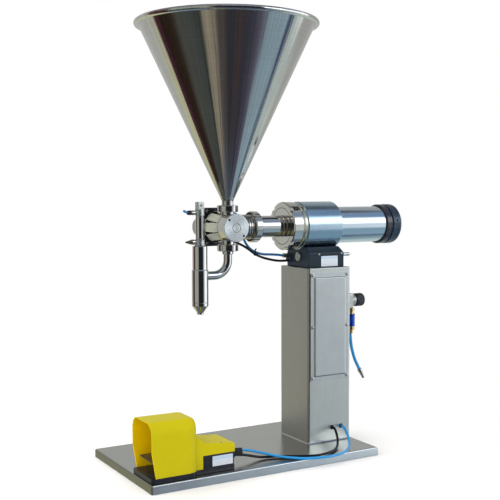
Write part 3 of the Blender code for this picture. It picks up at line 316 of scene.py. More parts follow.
def tube(path, radius, sides=20, bore=0.0):
    """Round bar along a path, or an open pipe when bore is set."""
    points = [Vector(p) for p in path]
    tangent = (points[1] - points[0]).normalized()
    up = Vector((0, 0, 1)) if abs(tangent.z) < 0.9 else Vector((0, 1, 0))
    normal = tangent.cross(up).normalized()
    frames = []
    last = len(points) - 1
    for i, p in enumerate(points):
        if i > 0:
            tangent = (points[min(i + 1, last)] - points[i - 1]).normalized()
        normal = (normal - tangent * normal.dot(tangent)).normalized()
        frames.append((p, normal.copy(), tangent.cross(normal)))

    def ring(station, r):
        p, side, top = station
        angles = [2 * pi * i / sides for i in range(sides)]
        return [tuple(p + side * (r * cos(a)) + top * (r * sin(a))) for a in angles]

    rings = [ring(station, radius) for station in frames]
    if bore > 0:
        rings += [ring(station, bore) for station in reversed(frames)]
    return loft(rings, close=bore > 0)


def finish(part, name, material, slot, replaced=None, body="frame", sharp=32, pick=None):
    """Name, paint, shade and attach a piece to its body, hiding the CAD piece it replaces.
    With pick(centre in mm, normal) -> index, material is a tuple of materials."""
    part.name = name
    slots = part.data.materials
    if pick:
        for entry in material:
            slots.append(entry)
    else:
        slots.clear()
        slots.append(material)
    for face in part.data.polygons:
        face.material_index = pick(face.center * 1000, face.normal) if pick else 0
    part.data.shade_smooth()
    part.data.set_sharp_from_angle(angle=radians(sharp))
    modifier = part.modifiers.new("wn", "WEIGHTED_NORMAL")
    modifier.keep_sharp = True
    modifier.weight = 50
    bake(part)
    part.data.name = name
    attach(part, body)
    if replaced:
        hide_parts(replaced)


# ============================================================ shader helpers

class Shader:
    """A cleared node tree; apart from node and link, methods return an output socket."""

    def __init__(self, tree):
        self.tree = tree
        tree.nodes.clear()

    def link(self, value, target):
        """Feed an input from a socket, a number, a vector or an RGB colour."""
        if isinstance(value, bpy.types.NodeSocket):
            self.tree.links.new(value, target)
        elif target.type == "RGBA":
            target.default_value = (*value, 1.0)
        else:
            target.default_value = value

    def node(self, kind, inputs=None, **attributes):
        made = self.tree.nodes.new("ShaderNode" + kind)
        for key, value in attributes.items():
            setattr(made, key, value)
        for key, value in (inputs or {}).items():
            self.link(value, made.inputs[key])
        return made

    def math(self, operation, first, second=0.0, clamp=False):
        return self.node("Math", {0: first, 1: second}, operation=operation,
                         use_clamp=clamp).outputs[0]

    def add(self, first, second, clamp=False):
        return self.math("ADD", first, second, clamp)

    def sub(self, first, second, clamp=False):
        return self.math("SUBTRACT", first, second, clamp)

    def mul(self, first, second):
        return self.math("MULTIPLY", first, second)

    def swing(self, value, amount):
        """A 0..1 value centred on zero and scaled."""
        return self.mul(self.sub(value, 0.5), amount)

    def weigh(self, first, first_share, second, second_share):
        return self.add(self.mul(first, first_share), self.mul(second, second_share))

    def remap(self, value, low, high, smooth=True):
        """low..high to 0..1, eased unless smooth is off."""
        kind = "SMOOTHSTEP" if smooth else "LINEAR"
        inputs = {0: value, 1: low, 2: high, 3: 0.0, 4: 1.0}
        return self.node("MapRange", inputs, interpolation_type=kind).outputs[0]

    def mix(self, factor, first, second):
        inputs = {0: factor, 6: first, 7: second}
        return self.node("Mix", inputs, data_type="RGBA").outputs[2]

    def coords(self, scale=(1, 1, 1), rotation=(0, 0, 0)):
        where = self.node("TexCoord").outputs["Object"]
        inputs = {"Vector": where, "Scale": scale, "Rotation": rotation}
        return self.node("Mapping", inputs).outputs[0]

    def noise(self, where, scale, detail=4.0, rough=0.55, distort=0.0):
        return self.node("TexNoise", {"Vector": where, "Scale": scale, "Detail": detail,
                                      "Roughness": rough, "Distortion": distort}).outputs[0]

    def dot(self, first, second):
        return self.node("VectorMath", {0: first, 1: second},
                         operation="DOT_PRODUCT").outputs["Value"]

    def edge_wear(self, where, radius, scale, low, high, amount):
        """Edges within radius, broken up by noise between low and high."""
        bent = self.node("Bevel", {"Radius": radius}, samples=4).outputs[0]
        edge = self.remap(self.dot(bent, self.node("NewGeometry").outputs["Normal"]), 0.995, 0.90)
        patches = self.noise(where, scale=scale, detail=4.0, rough=0.7)
        return self.mul(edge, self.mul(self.remap(patches, low, high), amount))

    def bump(self, height, strength, distance, normal=None):
        inputs = {"Height": height, "Strength": strength, "Distance": distance}
        if normal is not None:
            inputs["Normal"] = normal
        return self.node("Bump", inputs).outputs[0]


class Surface(Shader):
    """A new material with one principled shader."""

    def __init__(self, name):
        self.material = bpy.data.materials.new(name)
        self.material.use_nodes = True
        super().__init__(self.material.node_tree)
        output = self.node("OutputMaterial")
        self.bsdf = self.node("BsdfPrincipled")
        self.link(self.bsdf.outputs[0], output.inputs[0])

    def set(self, inputs):
        for key, value in inputs.items():
            self.link(value, self.bsdf.inputs[key])


def toned(color, factor, lift=0.0):
    return tuple(min(1.0, c * factor + lift) for c in color)


def stretched(along, slow, fast):
    """Texture scale that is slow along one axis, so noise turns to grain."""
    return tuple(slow if axis == along else fast for axis in "XYZ")


# ============================================================ materials

def metal(name, color, rough, vary=0.06, grain=(40, 40, 40), grain_mix=0.3, bump_mm=0.02,
          wear=0.0, wear_color=(0.8, 0.8, 0.8), cloud=18.0, anisotropy=0.0, radial_axis=None):
    """Metal with cloudy finish, a directional grain, smudges and bright worn edges."""
    s = Surface(name)
    where = s.coords()
    clouds = s.noise(where, scale=cloud, detail=5.0, rough=0.6)
    lines = s.noise(s.coords(grain), scale=12.0, detail=3.0, rough=0.65)
    smudge = s.noise(where, scale=55.0, detail=4.0, rough=0.7, distort=1.2)
    tone = s.add(s.swing(clouds, 1.0), s.swing(lines, grain_mix))
    base = s.mix(s.remap(tone, -0.35, 0.35), toned(color, 1 - vary), toned(color, 1 + vary))
    gloss = s.add(rough, s.mul(tone, rough * 0.7))
    gloss = s.add(gloss, s.mul(s.remap(smudge, 0.58, 0.75), rough * 0.5), clamp=True)
    if wear > 0:
        worn = s.edge_wear(where, radius=0.0012, scale=160.0, low=0.35, high=0.65, amount=wear)
        base = s.mix(worn, base, wear_color)
        gloss = s.sub(gloss, s.mul(worn, rough * 0.4), clamp=True)
    s.set({"Base Color": base, "Roughness": gloss, "Metallic": 1.0})
    if radial_axis:
        tangent = s.node("Tangent", direction_type="RADIAL", axis=radial_axis)
        s.set({"Anisotropic": anisotropy, "Tangent": tangent.outputs[0]})
    height = s.weigh(lines, 0.7, clouds, 0.3)
    s.set({"Normal": s.bump(height, strength=0.25, distance=mm(bump_mm))})
    return s.material


def plastic(name, color, rough, vary=0.08, pebble=900.0, bump_mm=0.06, wear=0.5,
            wear_color=None, specular=0.5, coat=0.0, subsurface=0.0, metallic=0.0, cloud=22.0):
    """Moulded plastic or rubber: fine pebble, mottled colour, paler rubbed edges."""
    s = Surface(name)
    where = s.coords()
    clouds = s.noise(where, scale=cloud, detail=4.0, rough=0.55)
    fine = s.noise(where, scale=pebble, detail=2.0, rough=0.5)
    mottle = s.noise(where, scale=120.0, detail=4.0, rough=0.7, distort=0.6)
    base = s.mix(s.remap(clouds, 0.3, 0.7), toned(color, 1 - vary), toned(color, 1 + vary))
    base = s.mix(s.mul(s.remap(mottle, 0.45, 0.8), 0.18), base, toned(color, 0.82))
    gloss = s.add(rough, s.swing(mottle, 0.25), clamp=True)
    if wear > 0:
        worn = s.edge_wear(where, radius=0.0014, scale=140.0, low=0.30, high=0.62, amount=wear)
        base = s.mix(worn, base, wear_color or toned(color, 1.6, 0.05))
    s.set({"Base Color": base, "Roughness": gloss, "Metallic": metallic,
           "Specular IOR Level": specular, "Coat Weight": coat, "Coat Roughness": 0.15})
    if subsurface > 0:
        s.set({"Subsurface Weight": subsurface, "Subsurface Radius": (0.004, 0.004, 0.001)})
    height = s.weigh(fine, 0.75, mottle, 0.25)
    s.set({"Normal": s.bump(height, strength=0.35, distance=mm(bump_mm))})
    return s.material


def brushed(name, color, rough, along, blotch=0.5):
    """Satin sheet metal: long grain along one axis, cloudy handling marks, bright edges."""
    vary, wear = 0.10, 0.6
    s = Surface(name)
    where = s.coords()
    lines = s.noise(s.coords(stretched(along, 2.2, 170)), scale=1.0, detail=3.0, rough=0.6)
    fine = s.noise(s.coords(stretched(along, 5, 900)), scale=1.0, detail=2.0, rough=0.6)
    broad = s.noise(where, scale=9.0, detail=4.0, rough=0.55, distort=0.4)
    clouds = s.noise(where, scale=34.0, detail=5.0, rough=0.6, distort=0.8)
    scratch = s.noise(s.coords((60, 60, 60), (0.3, 0.5, 0.8)), scale=6.0, detail=6.0,
                      rough=0.75, distort=2.5)
    tone = s.add(s.swing(broad, blotch), s.swing(clouds, blotch * 0.6))
    tone = s.add(tone, s.swing(lines, 0.22))
    tone = s.add(tone, s.swing(fine, 0.16))
    base = s.mix(s.remap(tone, -0.35, 0.35), toned(color, 1 - vary), toned(color, 1 + vary))
    base = s.mix(s.mul(s.remap(scratch, 0.66, 0.72), 0.25), base, toned(color, 1.35))
    gloss = s.add(rough, s.mul(tone, rough * 0.45))
    worn = s.edge_wear(where, radius=0.0015, scale=150.0, low=0.25, high=0.6, amount=wear)
    base = s.mix(worn, base, (0.75, 0.75, 0.74))
    gloss = s.sub(gloss, s.mul(worn, rough * 0.35), clamp=True)
    height = s.weigh(fine, 0.6, lines, 0.4)
    s.set({"Base Color": base, "Roughness": gloss, "Metallic": 1.0,
           "Normal": s.bump(height, strength=0.25, distance=mm(0.012))})
    return s.material


COLUMN_STEEL = brushed("column_steel", (0.575, 0.595, 0.57), rough=0.36, along="Z")
BASE_STEEL = brushed("base_steel", (0.50, 0.51, 0.49), rough=0.25, along="X", blotch=0.35)
# Same sheet as the top: the Y side faces are painted pale as painted light, the X end faces dark
# as painted shade.
SIDE_STEEL_PAINTED_LIGHT = brushed("base_side_painted_light", (0.76, 0.80, 0.82), rough=0.30, along="X", blotch=0.6)
END_STEEL_PAINTED_SHADE = brushed("base_end_painted_shade", (0.27, 0.275, 0.23), rough=0.30, along="Y", blotch=0.5)
COVER_STEEL = brushed("cover_steel", (0.54, 0.565, 0.57), rough=0.33, along="Z", blotch=0.65)

CHROME = metal("polished_steel", (0.66, 0.655, 0.64), rough=0.07, vary=0.05, grain=(60, 60, 60),
               grain_mix=0.25, bump_mm=0.008, cloud=26.0)
TUBE_STEEL = metal("polished_tube", (0.68, 0.665, 0.65), rough=0.085, vary=0.05,
                   grain=(400, 6, 6), grain_mix=0.4, bump_mm=0.01, cloud=20.0)
NUT_STEEL = metal("polished_nut", (0.66, 0.65, 0.63), rough=0.12, vary=0.07, grain=(90, 90, 90),
                  wear=0.4, wear_color=(0.8, 0.79, 0.77))
MIRROR = metal("polished_face", (0.68, 0.67, 0.64), rough=0.05, vary=0.05, grain=(90, 90, 90),
               bump_mm=0.006, wear=0.3, wear_color=(0.8, 0.79, 0.77))
# Darker, rougher cut metal for threads and grooves: a real cut finish, darkened further as
# painted shade in the recesses.
CUT_FINISH_AND_SHADE = metal("turned_thread_groove_shade", (0.42, 0.40, 0.36), rough=0.28, vary=0.12,
                 grain=(50, 50, 50), bump_mm=0.03)
# Near-black metal painted into creases and grooves as painted shade.
CREASE_PAINTED_SHADE = metal("painted_crease_shade", (0.10, 0.095, 0.085), rough=0.45, vary=0.12,
               grain=(50, 50, 50), bump_mm=0.03)
DISC = metal("turned_disc", (0.74, 0.78, 0.80), rough=0.26, vary=0.05, grain=(120, 120, 120),
             anisotropy=0.75, radial_axis="Y", cloud=30.0)
ALUMINIUM = metal("turned_aluminium", (0.61, 0.70, 0.78), rough=0.15, vary=0.03,
                  grain=(600, 5, 5), grain_mix=0.5, cloud=12.0)
SATIN = metal("satin_aluminium", (0.72, 0.74, 0.74), rough=0.43, grain=(80, 80, 80),
              bump_mm=0.03, wear=0.4)
BRIGHT = metal("bright_screw", (0.88, 0.89, 0.88), rough=0.5, vary=0.05, grain=(80, 80, 80),
               wear=0.3)
BLUE_GREY = metal("anodised_blue_grey", (0.46, 0.60, 0.70), rough=0.21, vary=0.04,
                  grain=(500, 5, 5), grain_mix=0.5, cloud=10.0, wear=0.7,
                  wear_color=(0.75, 0.78, 0.80))
BARE_RING = metal("bare_front_ring", (0.66, 0.68, 0.60), rough=0.22, vary=0.05,
                  grain=(300, 8, 8), grain_mix=0.4)
BRASS = metal("brass", (0.72, 0.52, 0.24), rough=0.26, vary=0.10, grain=(60, 60, 60),
              bump_mm=0.03, wear=0.5, wear_color=(0.85, 0.68, 0.38))
BRONZE = metal("sintered_bronze", (0.46, 0.40, 0.30), rough=0.34, vary=0.15,
               grain=(60, 60, 60), bump_mm=0.08)
NICKEL = metal("nickel_plate", (0.60, 0.58, 0.53), rough=0.16, vary=0.08, grain=(60, 60, 60),
               wear=0.4)
STEEL = metal("machined_steel", (0.52, 0.52, 0.51), rough=0.28, vary=0.10, grain=(80, 80, 80),
              grain_mix=0.4, bump_mm=0.03, wear=0.4)
BLUE_METAL = metal("blue_sleeve", (0.02, 0.10, 0.62), rough=0.26, vary=0.12,
                   grain=(80, 80, 80), bump_mm=0.03, wear=0.35, wear_color=(0.35, 0.45, 0.7))

KNOB_BLACK = plastic("black_anodised", (0.018, 0.036, 0.062), rough=0.27, vary=0.12,
                     pebble=1200.0, bump_mm=0.03, wear_color=(0.25, 0.27, 0.30), metallic=0.3)
COLLAR_BLACK = plastic("collar_black", (0.010, 0.010, 0.018), rough=0.16, vary=0.12,
                       pebble=1200.0, bump_mm=0.02, wear=0.4, wear_color=(0.2, 0.22, 0.3),
                       specular=0.6, coat=0.2)
BOX_SLATE = plastic("box_slate", (0.010, 0.020, 0.031), rough=0.30, vary=0.12, bump_mm=0.04,
                    wear=0.6, wear_color=(0.08, 0.13, 0.17), specular=0.28)
ACTUATOR_BLACK = plastic("actuator_black", (0.004, 0.005, 0.008), rough=0.33, vary=0.12,
                         pebble=800.0, bump_mm=0.05, wear_color=(0.09, 0.10, 0.11))
RUBBER = plastic("rubber_black", (0.014, 0.014, 0.016), rough=0.55, vary=0.15, pebble=700.0,
                 wear=0.3, wear_color=(0.05, 0.05, 0.052))
PEDAL_BLACK = plastic("pedal_black", (0.008, 0.010, 0.018), rough=0.36, vary=0.12,
                      pebble=800.0, wear=0.4, wear_color=(0.06, 0.065, 0.08))
TREAD_BLACK = plastic("treadle_black", (0.028, 0.019, 0.014), rough=0.34, vary=0.15,
                      pebble=700.0, wear_color=(0.10, 0.085, 0.07))
YELLOW = plastic("yellow_plastic", (0.52, 0.455, 0.0), rough=0.40, vary=0.035, pebble=650.0,
                 bump_mm=0.04, wear=0.30, wear_color=(0.70, 0.62, 0.04), specular=0.16,
                 cloud=10.0)
# Brighter, oranger yellow for the hood's inner faces: painted light.
YELLOW_PAINTED_LIGHT = plastic("yellow_inside_painted_light", (0.78, 0.54, 0.0), rough=0.45, vary=0.04,
                        pebble=650.0, bump_mm=0.04, wear=0.2, wear_color=(0.80, 0.60, 0.04),
                        specular=0.10)
HOSE_BLUE = plastic("hose_blue", (0.010, 0.15, 0.40), rough=0.24, vary=0.06, pebble=500.0,
                    bump_mm=0.02, wear=0.0, specular=0.6, coat=0.3)
HOSE_BRIGHT = plastic("hose_blue_bright", (0.012, 0.27, 0.64), rough=0.24, vary=0.06,
                      pebble=500.0, bump_mm=0.02, wear=0.0, specular=0.6, coat=0.3)
HOSE_BLACK = plastic("hose_black", (0.004, 0.004, 0.008), rough=0.30, vary=0.10,
                     pebble=500.0, bump_mm=0.02, wear=0.0, specular=0.35)
REGULATOR_CAST = plastic("regulator_cast", (0.50, 0.51, 0.50), rough=0.38, pebble=500.0,
                         bump_mm=0.08, wear_color=(0.8, 0.8, 0.8), metallic=0.7)
REGULATOR_BLACK = plastic("regulator_knob_black", (0.010, 0.012, 0.016), rough=0.38,
                          vary=0.12, pebble=700.0, bump_mm=0.05, wear=0.4,
                          wear_color=(0.06, 0.07, 0.08))
# Matt pale beige for the valve-body flats, standing in for the room they reflect: painted
# reflection.
FLAT_PAINTED_REFLECTION = plastic("flat_painted_reflection", (0.345, 0.37, 0.30), rough=0.42, pebble=300.0, bump_mm=0.05,
                  wear=0.4, wear_color=(0.7, 0.7, 0.64), specular=0.6)
SEAL_WHITE = plastic("white_seal", (0.78, 0.78, 0.75), rough=0.45, vary=0.05, pebble=600.0,
                     bump_mm=0.05, wear=0.3, wear_color=(0.88, 0.88, 0.86), subsurface=0.1)


def hopper_material():
    """Rolled mirror sheet: streaks up the cone, faint waves, polish lines round it, smears."""
    s = Surface("hopper_mirror")
    where = s.coords()
    x, y, z = s.node("SeparateXYZ", {0: s.node("TexCoord").outputs["Object"]}).outputs
    angle = s.math("ARCTAN2", y, s.add(x, 0.022))
    cosine, sine = s.math("COSINE", angle), s.math("SINE", angle)
    wobble = s.mul(s.noise(where, scale=9.0, detail=3.0, rough=0.5), 0.16)

    def round_cone(around, up, offset=0.0):
        """Coordinates with the given scales around and up the cone."""
        return s.node("CombineXYZ", {0: s.mul(s.add(cosine, s.mul(wobble, 0.3)), around),
                                     1: s.mul(sine, around),
                                     2: s.add(s.mul(z, up), offset)}).outputs[0]

    broad = s.noise(round_cone(5.0, 0.8), scale=1.0, detail=3.0, rough=0.55)
    streak = s.noise(round_cone(26.0, 1.6, 3.0), scale=1.0, detail=4.0, rough=0.6)
    hair = s.noise(round_cone(120.0, 2.5, 7.0), scale=1.0, detail=3.0, rough=0.6)
    lines = s.noise(s.coords((1.5, 1.5, 420)), scale=1.0, detail=3.0, rough=0.7)
    clouds = s.noise(where, scale=14.0, detail=5.0, rough=0.6, distort=0.8)
    smear = s.noise(s.coords((26, 26, 5)), scale=1.6, detail=5.0, rough=0.7, distort=1.4)
    tone = s.add(s.swing(streak, 0.8), s.swing(hair, 0.28))
    tone = s.add(tone, s.swing(lines, 0.30))
    tone = s.add(tone, s.swing(clouds, 0.25))
    base = s.mix(s.remap(tone, -0.32, 0.32), (0.50, 0.495, 0.475), (0.73, 0.725, 0.71))
    base = s.mix(s.mul(s.remap(smear, 0.62, 0.78), 0.12), base, (0.74, 0.73, 0.71))
    gloss = s.add(0.105, s.swing(streak, 0.10))
    gloss = s.add(gloss, s.mul(s.remap(smear, 0.55, 0.8), 0.06), clamp=True)
    normal = s.bump(broad, strength=0.35, distance=0.0024)
    normal = s.bump(streak, strength=0.25, distance=0.0003, normal=normal)
    normal = s.bump(lines, strength=0.12, distance=0.00003, normal=normal)
    s.set({"Base Color": base, "Roughness": gloss, "Metallic": 1.0, "Normal": normal})
    return s.material


HOPPER_MIRROR = hopper_material()


def label_material(name, across, up, header):
    """Blank plate over x and z ranges: pale film, a tinted band above header, empty rules."""
    s = Surface(name)
    x, _, z = s.node("SeparateXYZ", {0: s.node("TexCoord").outputs["Object"]}).outputs
    u = s.remap(x, mm(across[0]), mm(across[1]), smooth=False)
    v = s.remap(z, mm(up[0]), mm(up[1]), smooth=False)
    from_side = s.math("MINIMUM", u, s.sub(1.0, u))
    base = s.mix(s.noise(s.coords(), scale=300.0, detail=3.0),
                 (0.60, 0.66, 0.74), (0.68, 0.74, 0.80))
    band = s.mul(s.remap(v, header, header + 0.01), s.remap(v, 0.95, 0.94))
    base = s.mix(s.mul(band, 0.55), base, (0.30, 0.50, 0.72))
    rules = s.math("SINE", s.mul(v, 44.0))
    inside = s.mul(s.math("GREATER_THAN", from_side, 0.09),
                   s.mul(s.math("GREATER_THAN", v, 0.10),
                         s.math("LESS_THAN", v, header - 0.05)))
    base = s.mix(s.mul(s.mul(s.remap(rules, 0.55, 0.9), inside), 0.35), base,
                 (0.22, 0.25, 0.32))
    gloss = s.add(0.3, s.mul(s.noise(s.coords(), scale=200.0, detail=3.0), 0.15))
    grain = s.noise(s.coords(), scale=500.0, detail=2.0)
    s.set({"Base Color": base, "Roughness": gloss,
           "Normal": s.bump(grain, strength=0.2, distance=mm(0.02))})
    return s.material


def plate(name, material_name, across, up, depth, corner, header):
    part = slab("Y", across, up, depth, corner, 0.12, steps=4, edge_steps=2)
    finish(part, name, label_material(material_name, across, up, header), "seal_white")


# ============================================================ base
BASE_X, BASE_Y, BASE_TOP = 300.0, 169.0, 20.0       # half sizes and height
BASE_WALL, BASE_LIP = 2.0, 16.0                     # sheet, width of the inturned lip
ANGLE_BAR = [(-20, 0), (20, 0), (20, 2), (-16.6, 2), (-17.6, 2.4), (-18, 3.4), (-18, 18.5),
             (-20, 18.5)]                           # x, z of the bar under the tray


def base_tray():
    wall, lip, top = BASE_WALL, BASE_LIP, BASE_TOP
    # inset, corner radius, z: under the top, down the inner wall, round the lip
    rows = [(wall + 1.5, 2.0, top - wall), (wall + 0.4, 2.0, top - wall - 0.5),
            (wall, 2.0, top - wall - 1.5), (wall, 2.0, wall + 0.8), (wall + 0.8, 2.0, wall),
            (lip - 0.4, 2.0, wall), (lip, 2.0, wall - 0.4), (lip, 2.0, 0.4),
            (lip - 0.4, 2.0, 0.0)]
    for i in range(5):      # lower outer edge
        a = radians(90.0 * i / 4)
        rows.append((1.6 * (1 - sin(a)), 3.4 if i else 2.4, 1.6 * (1 - cos(a))))
    for i in range(6):      # upper outer edge
        a = radians(90.0 * i / 5)
        inset = 2.4 * (1 - cos(a))
        rows.append((inset, 3.4 - 1.2 * (1 - cos(a)), top - 2.4 * (1 - sin(a))))
    part = loft([rect_ring("Z", (-BASE_X, BASE_X), (-BASE_Y, BASE_Y), *row) for row in rows])
    join(part, prism(ANGLE_BAR, "Y", -150, 150))

    # Faces are picked by direction: the Y sides get the painted light and the X ends get the
    # painted shade.
    def pick(center, normal):
        if abs(normal.z) >= 0.75:
            return 0
        return 2 if abs(normal.x) > abs(normal.y) else 1

    finish(part, "base_tray", (BASE_STEEL, SIDE_STEEL_PAINTED_LIGHT, END_STEEL_PAINTED_SHADE), "stainless_brushed",
           "base_plate", sharp=30, pick=pick)


def base_corner_welds():
    for i in (0, 1):
        for j in (0, 1):
            x, y = (2 * i - 1) * (BASE_X - 0.95), (2 * j - 1) * (BASE_Y - 0.95)
            path = [(x + 0.05 * sin(3.1 * k), y + 0.05 * cos(2.3 * k), 0.9 + 0.5 * k)
                    for k in range(36)]
            finish(tube(path, 0.85, 10), "base_corner_weld_%d%d" % (i, j), STEEL,
                   "stainless_brushed")


# ============================================================ column
COLUMN_X = (166.5, 292.5)
COLUMN_Y = 64.5                     # half width
COLUMN_WALL, COLUMN_RADIUS = 3.0, 5.0
COLUMN_Z = (20.3, 455.0)
# holes in the -Y wall for the pedal hoses: x, z
HOSE_HOLES = {"black": (237.5, 54.5), "blue": (264.5, 55.0)}
SUPPLY_AXIS = (-15.0, 363.5)        # y, z of the air regulator


def column_ring(inset, radius, z):
    return rect_ring("Z", COLUMN_X, (-COLUMN_Y, COLUMN_Y), inset, radius, z, 8)


def column():
    bottom, top = COLUMN_Z
    wall, near = COLUMN_WALL, -COLUMN_Y
    rings = [column_ring(wall, 2.2, top - wall), column_ring(wall, 2.2, bottom)]
    rings += [column_ring(0, COLUMN_RADIUS, z) for z in (bottom, 80, 160, 240, 320, 400)]
    for i in range(6):
        a = radians(90.0 * i / 5)
        rings.append(column_ring(1.6 * (1 - cos(a)), COLUMN_RADIUS - 1.4 * (1 - cos(a)),
                                 top - 1.6 * (1 - sin(a))))
    part = loft(rings)
    cut(part, slab("Y", (188, 270), (196, 424), (near - 5, near + wall + 4), 4.0))
    for hole in HOSE_HOLES.values():
        cut(part, cylinder_solid("Y", hole, 5.2, near - 4, near + wall + 4, 32))
    side = COLUMN_X[1]
    cut(part, cylinder_solid("X", SUPPLY_AXIS, 5.3, side - wall - 4, side + 4, 32))
    finish(part, "column_box", COLUMN_STEEL, "stainless_brushed", "column", sharp=30)


def column_foot_weld():
    # distance out from the column, z
    section = [(-0.6, 20.02), (2.6, 20.02), (2.2, 20.5), (1.5, 21.2), (0.8, 22.0),
               (0.25, 22.9), (0.02, 23.3), (-0.6, 23.3)]
    rings = [column_ring(-out, COLUMN_RADIUS + out, z) for out, z in section]
    finish(loft(rings, close=True), "column_foot_weld", STEEL, "stainless_brushed")


def box_mm(node):
    return [v * 1000 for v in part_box(node)]


def access_cover():
    """Raised pan on the -Y wall, its rim held by six screws."""
    low, high = box_mm("access_cover")
    back, front = high.y, low.y
    rim = back - 1.7
    # inset, corner radius, y: from inside the pan round the rim to the raised face
    rows = [(14.5, 1.5, front + 1.5), (12.0, 1.5, back), (0.3, 3.0, back),
            (0, 3.0, back - 0.3), (0, 3.0, rim + 0.5), (0.15, 2.9, rim + 0.15),
            (0.5, 2.6, rim), (9.6, 2.0, rim), (10.0, 2.0, rim - 0.10),
            (10.35, 2.0, rim - 0.35), (10.7, 2.0, rim - 0.7), (11.8, 2.0, front + 0.95),
            (12.1, 2.0, front + 0.5), (12.45, 2.0, front + 0.16),
            (12.9, 2.0, front + 0.02), (13.4, 1.9, front)]
    part = loft([rect_ring("Y", (low.x, high.x), (low.z, high.z), *row, 5) for row in rows])
    finish(part, "access_cover_pan", COVER_STEEL, "stainless_brushed", "access_cover", sharp=22)
    for i in range(1, 7):
        cover_screw("cover_screw_%d" % i, rim)


def cover_screw(node, rim):
    low, high = box_mm(node)
    center = ((low.x + high.x) / 2, (low.z + high.z) / 2)
    y = low.y
    part = lathe("Y", center, [
        (0, y + 0.02), (1.4, y + 0.02), (2.6, y + 0.35, 0.5), (3.6, y + 1.3, 0.6),
        (3.95, y + 2.35, 0.2), (2.0, y + 2.4), (2.0, high.y), (0, high.y)], 40)
    cut(part, socket("Y", center, 1.7, y - 1, y + 1.4, y + 1.9))
    finish(part, node + "_head", NICKEL, "stainless_polished", node, sharp=30)
    part = lathe("Y", center, [(4.05, rim - 0.02), (5.6, rim - 0.02), (5.6, rim - 0.26, 0.1),
                               (4.05, rim - 0.26)], 40)
    finish(part, node + "_washer", STEEL, "stainless_polished", sharp=30)


def grommets():
    y = -COLUMN_Y - 0.3
    for color, hole in HOSE_HOLES.items():
        part = lathe("Y", hole, [
            (3.15, y - 1.8, 0.3), (4.6, y - 1.8, 0.6), (5.7, y - 0.8, 0.4), (5.7, y), (4.8, y),
            (4.8, y + 5.5), (3.15, y + 5.5)], 48)
        node = "cable_grommet_" + color
        finish(part, node + "_ring", RUBBER, "rubber_black", node)


# ============================================================ control box
BOX_X, BOX_Y = (174.6, 280.0), (-54.0, 46.0)
BOX_BOTTOM, BOX_SHOULDER, BOX_TOP = 455.3, 491.5, 506.0
BOX_CHAMFER = 12.0
HOUSING_RADIUS = 60.0
FLOW_SCREW = (-10.0, 481.5)         # y, z
BLACK_OUTLET = (33.0, 469.0)        # y, z
BLUE_OUTLET = (38.5, 482.0)         # y, z


def control_box():
    (x0, x1), (y0, y1) = BOX_X, BOX_Y
    part = prism([(y0, BOX_BOTTOM), (y1, BOX_BOTTOM), (y1, BOX_SHOULDER),
                  (y1 - BOX_CHAMFER, BOX_TOP), (y0 + BOX_CHAMFER, BOX_TOP),
                  (y0, BOX_SHOULDER)], "X", x0, x1)
    # slope on the +X end
    cut(part, prism([(x1 - 9.0, BOX_TOP + 2), (x1 + 8, BOX_TOP + 2), (x1 + 8, BOX_SHOULDER - 8),
                     (x1, BOX_SHOULDER)], "Y", y0 - 5, y1 + 5))
    bevel(part, 2.2, 4, 25)
    join(part, lathe("X", (34.0, 475.5), [(0, x0 - 4.5), (11.5, x0 - 4.5, 1.2), (11.5, x0 + 5),
                                          (0, x0 + 5)], 64))
    # cradle for the cylinder housing
    cut(part, cylinder_solid("X", CYLINDER_AXIS, HOUSING_RADIUS + 0.3, x0 - 20, x1 + 20, 160))
    cut(part, cylinder_solid("X", FLOW_SCREW, 11.6, x0 - 6, x0 + 1.6, 48))
    cut(part, cylinder_solid("X", FLOW_SCREW, 4.3, x0 - 6, x0 + 9, 32))
    cut(part, cylinder_solid("X", BLACK_OUTLET, 3.3, x0 - 10, x0 + 6, 32))
    finish(part, "control_box_shell", BOX_SLATE, "box_black", "control_box")


def box_near_face():
    """Blank plate and two slotted screws on the -Y face."""
    y = BOX_Y[0]
    plate("box_plate_blank", "plate_blank_box", (211.2, 260.6), (457.6, 483.2),
          (y - 0.42, y - 0.02), corner=1.2, header=0.72)
    for x, z in ((205.2, 488.2), (272.4, 488.6)):
        part = lathe("Y", (x, z), [(0, y - 1.3), (1.7, y - 1.3, 0.5), (2.6, y - 0.5, 0.4),
                                   (2.6, y + 0.2), (0, y + 0.2)], 28)
        cut(part, slab("Y", (x - 3, x + 3), (z - 0.35, z + 0.35), (y - 2, y - 0.8), 0.05,
                       steps=1))
        finish(part, "box_screw_%d" % int(x), STEEL, "stainless_polished")


def exhaust_fitting():
    x, center = 280.3, (-36.0, 484.5)
    part = lathe("X", center, [
        (0, x), (5.2, x), (5.2, x + 5.2, 0.5), (3.5, x + 6.2), (3.5, x + 8.6),
        (4.7, x + 9.2, 0.4), (4.7, x + 20, 0.3), (4.2, x + 20.8, 0.2), (4.7, x + 21.6, 0.3),
        (4.7, x + 26.5, 0.4), (3.3, x + 30), (2.2, x + 32, 0.3), (0, x + 32)], 48)
    finish(part, "exhaust_fitting_body", SATIN, "turned_aluminium", "exhaust_fitting")
    part = lathe("X", center, [(0, x + 0.1), (6.0, x + 0.1, 0.4), (6.0, x + 5.0, 0.5),
                               (0, x + 5.0)], 6, 2)
    finish(part, "exhaust_fitting_hex", NICKEL, "turned_aluminium", sharp=25)


def flow_screw():
    x, (y, z) = 174.3, FLOW_SCREW
    part = lathe("X", FLOW_SCREW, [
        (0, x - 4.95), (6.2, x - 4.95, 0.2), (6.5, x - 4.6, 0.2), (6.9, x - 4.95, 0.2),
        (9.9, x - 4.95, 0.6), (11.0, x - 3.9, 0.5), (11.0, x, 0.2), (4.0, x), (4.0, x + 10.9),
        (0, x + 10.9)])
    cut(part, slab("X", (y - 8.6, y + 8.6), (z - 1.0, z + 1.0), (x - 7, x - 3.2), 0.5, steps=3))
    finish(part, "flow_screw", BRIGHT, "turned_aluminium", "speed_control_screw",
           body="speed_screw")


